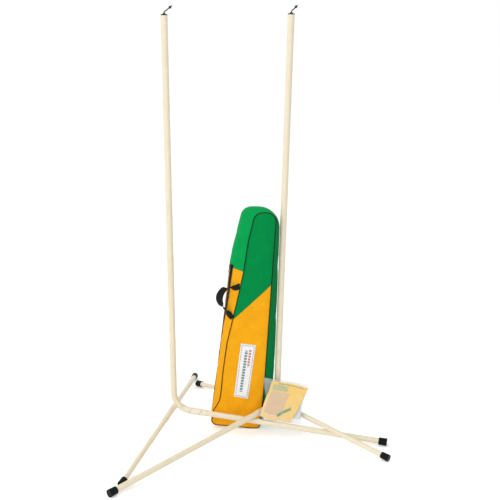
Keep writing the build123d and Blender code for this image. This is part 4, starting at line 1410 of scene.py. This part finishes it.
net_y = -0.004 + tall * net_tall / 2 + 0.0015 * np.sin(route_length[:, None] * 60)
net_points = in_pouch(net_x, net_y, net_z).reshape(-1, 3)
net_faces = quads_of(len(route), net_rows)
net_plane = np.stack(
    np.broadcast_arrays(route_length[:, None], (tall * net_tall / 2)[None]), -1
).reshape(-1, 2)
net_uv = net_plane[net_faces]


def net_material():
    """White yarn in a diamond mesh: opaque on the yarns and knots, partly clear between them."""
    material, tree, shader, where = start_material("net yarn")
    parts = tree.add("SeparateXYZ", Vector=where.outputs["UV"])
    x, y = parts.outputs[0], parts.outputs[1]
    cell = 330.0
    one = tree.math("SINE", tree.math("MULTIPLY", tree.math("ADD", x, y), cell))
    two = tree.math("SINE", tree.math("MULTIPLY", tree.math("SUBTRACT", x, y), cell))
    near = tree.math("MINIMUM", tree.math("ABSOLUTE", one), tree.math("ABSOLUTE", two))
    yarn = tree.ramp(near, 0.62, 0.85, 1.0, 0.0)
    made = use_group(
        tree, weave, Cloth=where.outputs["UV"], Colour=linear(232, 234, 238), Threads=9000.0,
        Shade=0.3, Depth=0.8,
    )
    tree.put(shader, "Base Color", made.outputs["Colour"])
    connect(tree, made, shader)
    tree.put(shader, "Alpha", tree.math("MULTIPLY_ADD", yarn, 0.45, 0.55))
    return material


net = make_piece("net_bundle", net_points, net_faces, net_material(), "pouch", uv=net_uv)
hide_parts("folded_net")
print("net strip", round(float(route_length[-1]) * 1000), "x", net_tall * 1000, "mm")


# %% [markdown]
# ## Ground
#
# The ground is pale and matt. To rays from the camera, mirror rays and rays through the film it
# also glows a little, which carries it up to the white of the backdrop and leaves the soft
# shadows at the feet. No light comes from that glow, because other rays do not see it.


# %% Floor material
def floor_material(glow):
    """Very pale ground with the faintest unevenness, lifted to white where it is looked at."""
    material, tree, shader, where = start_material("ground")
    made = use_group(
        tree, grain, Place=where.outputs["Object"], Colour=(0.93, 0.93, 0.93, 1),
        Wear=(0.92, 0.92, 0.92, 1), Amount=0.1, Size=2.0, Depth=0.0,
    )
    tree.put(shader, "Base Color", made.outputs["Colour"])
    path = tree.add("LightPath")
    looked = tree.math("MAXIMUM", path.outputs["Is Camera Ray"], path.outputs["Is Glossy Ray"])
    looked = tree.math("MAXIMUM", looked, path.outputs["Is Transmission Ray"])
    tree.put(shader, "Emission Color", tree.mix(looked, (0, 0, 0, 1), (glow, glow, glow, 1)))
    shader.inputs["Emission Strength"].default_value = 1.0
    shader.inputs["Roughness"].default_value = 0.9
    shader.inputs["Specular IOR Level"].default_value = 0.05
    return material


floor_mesh.materials.append(floor_material(0.36))
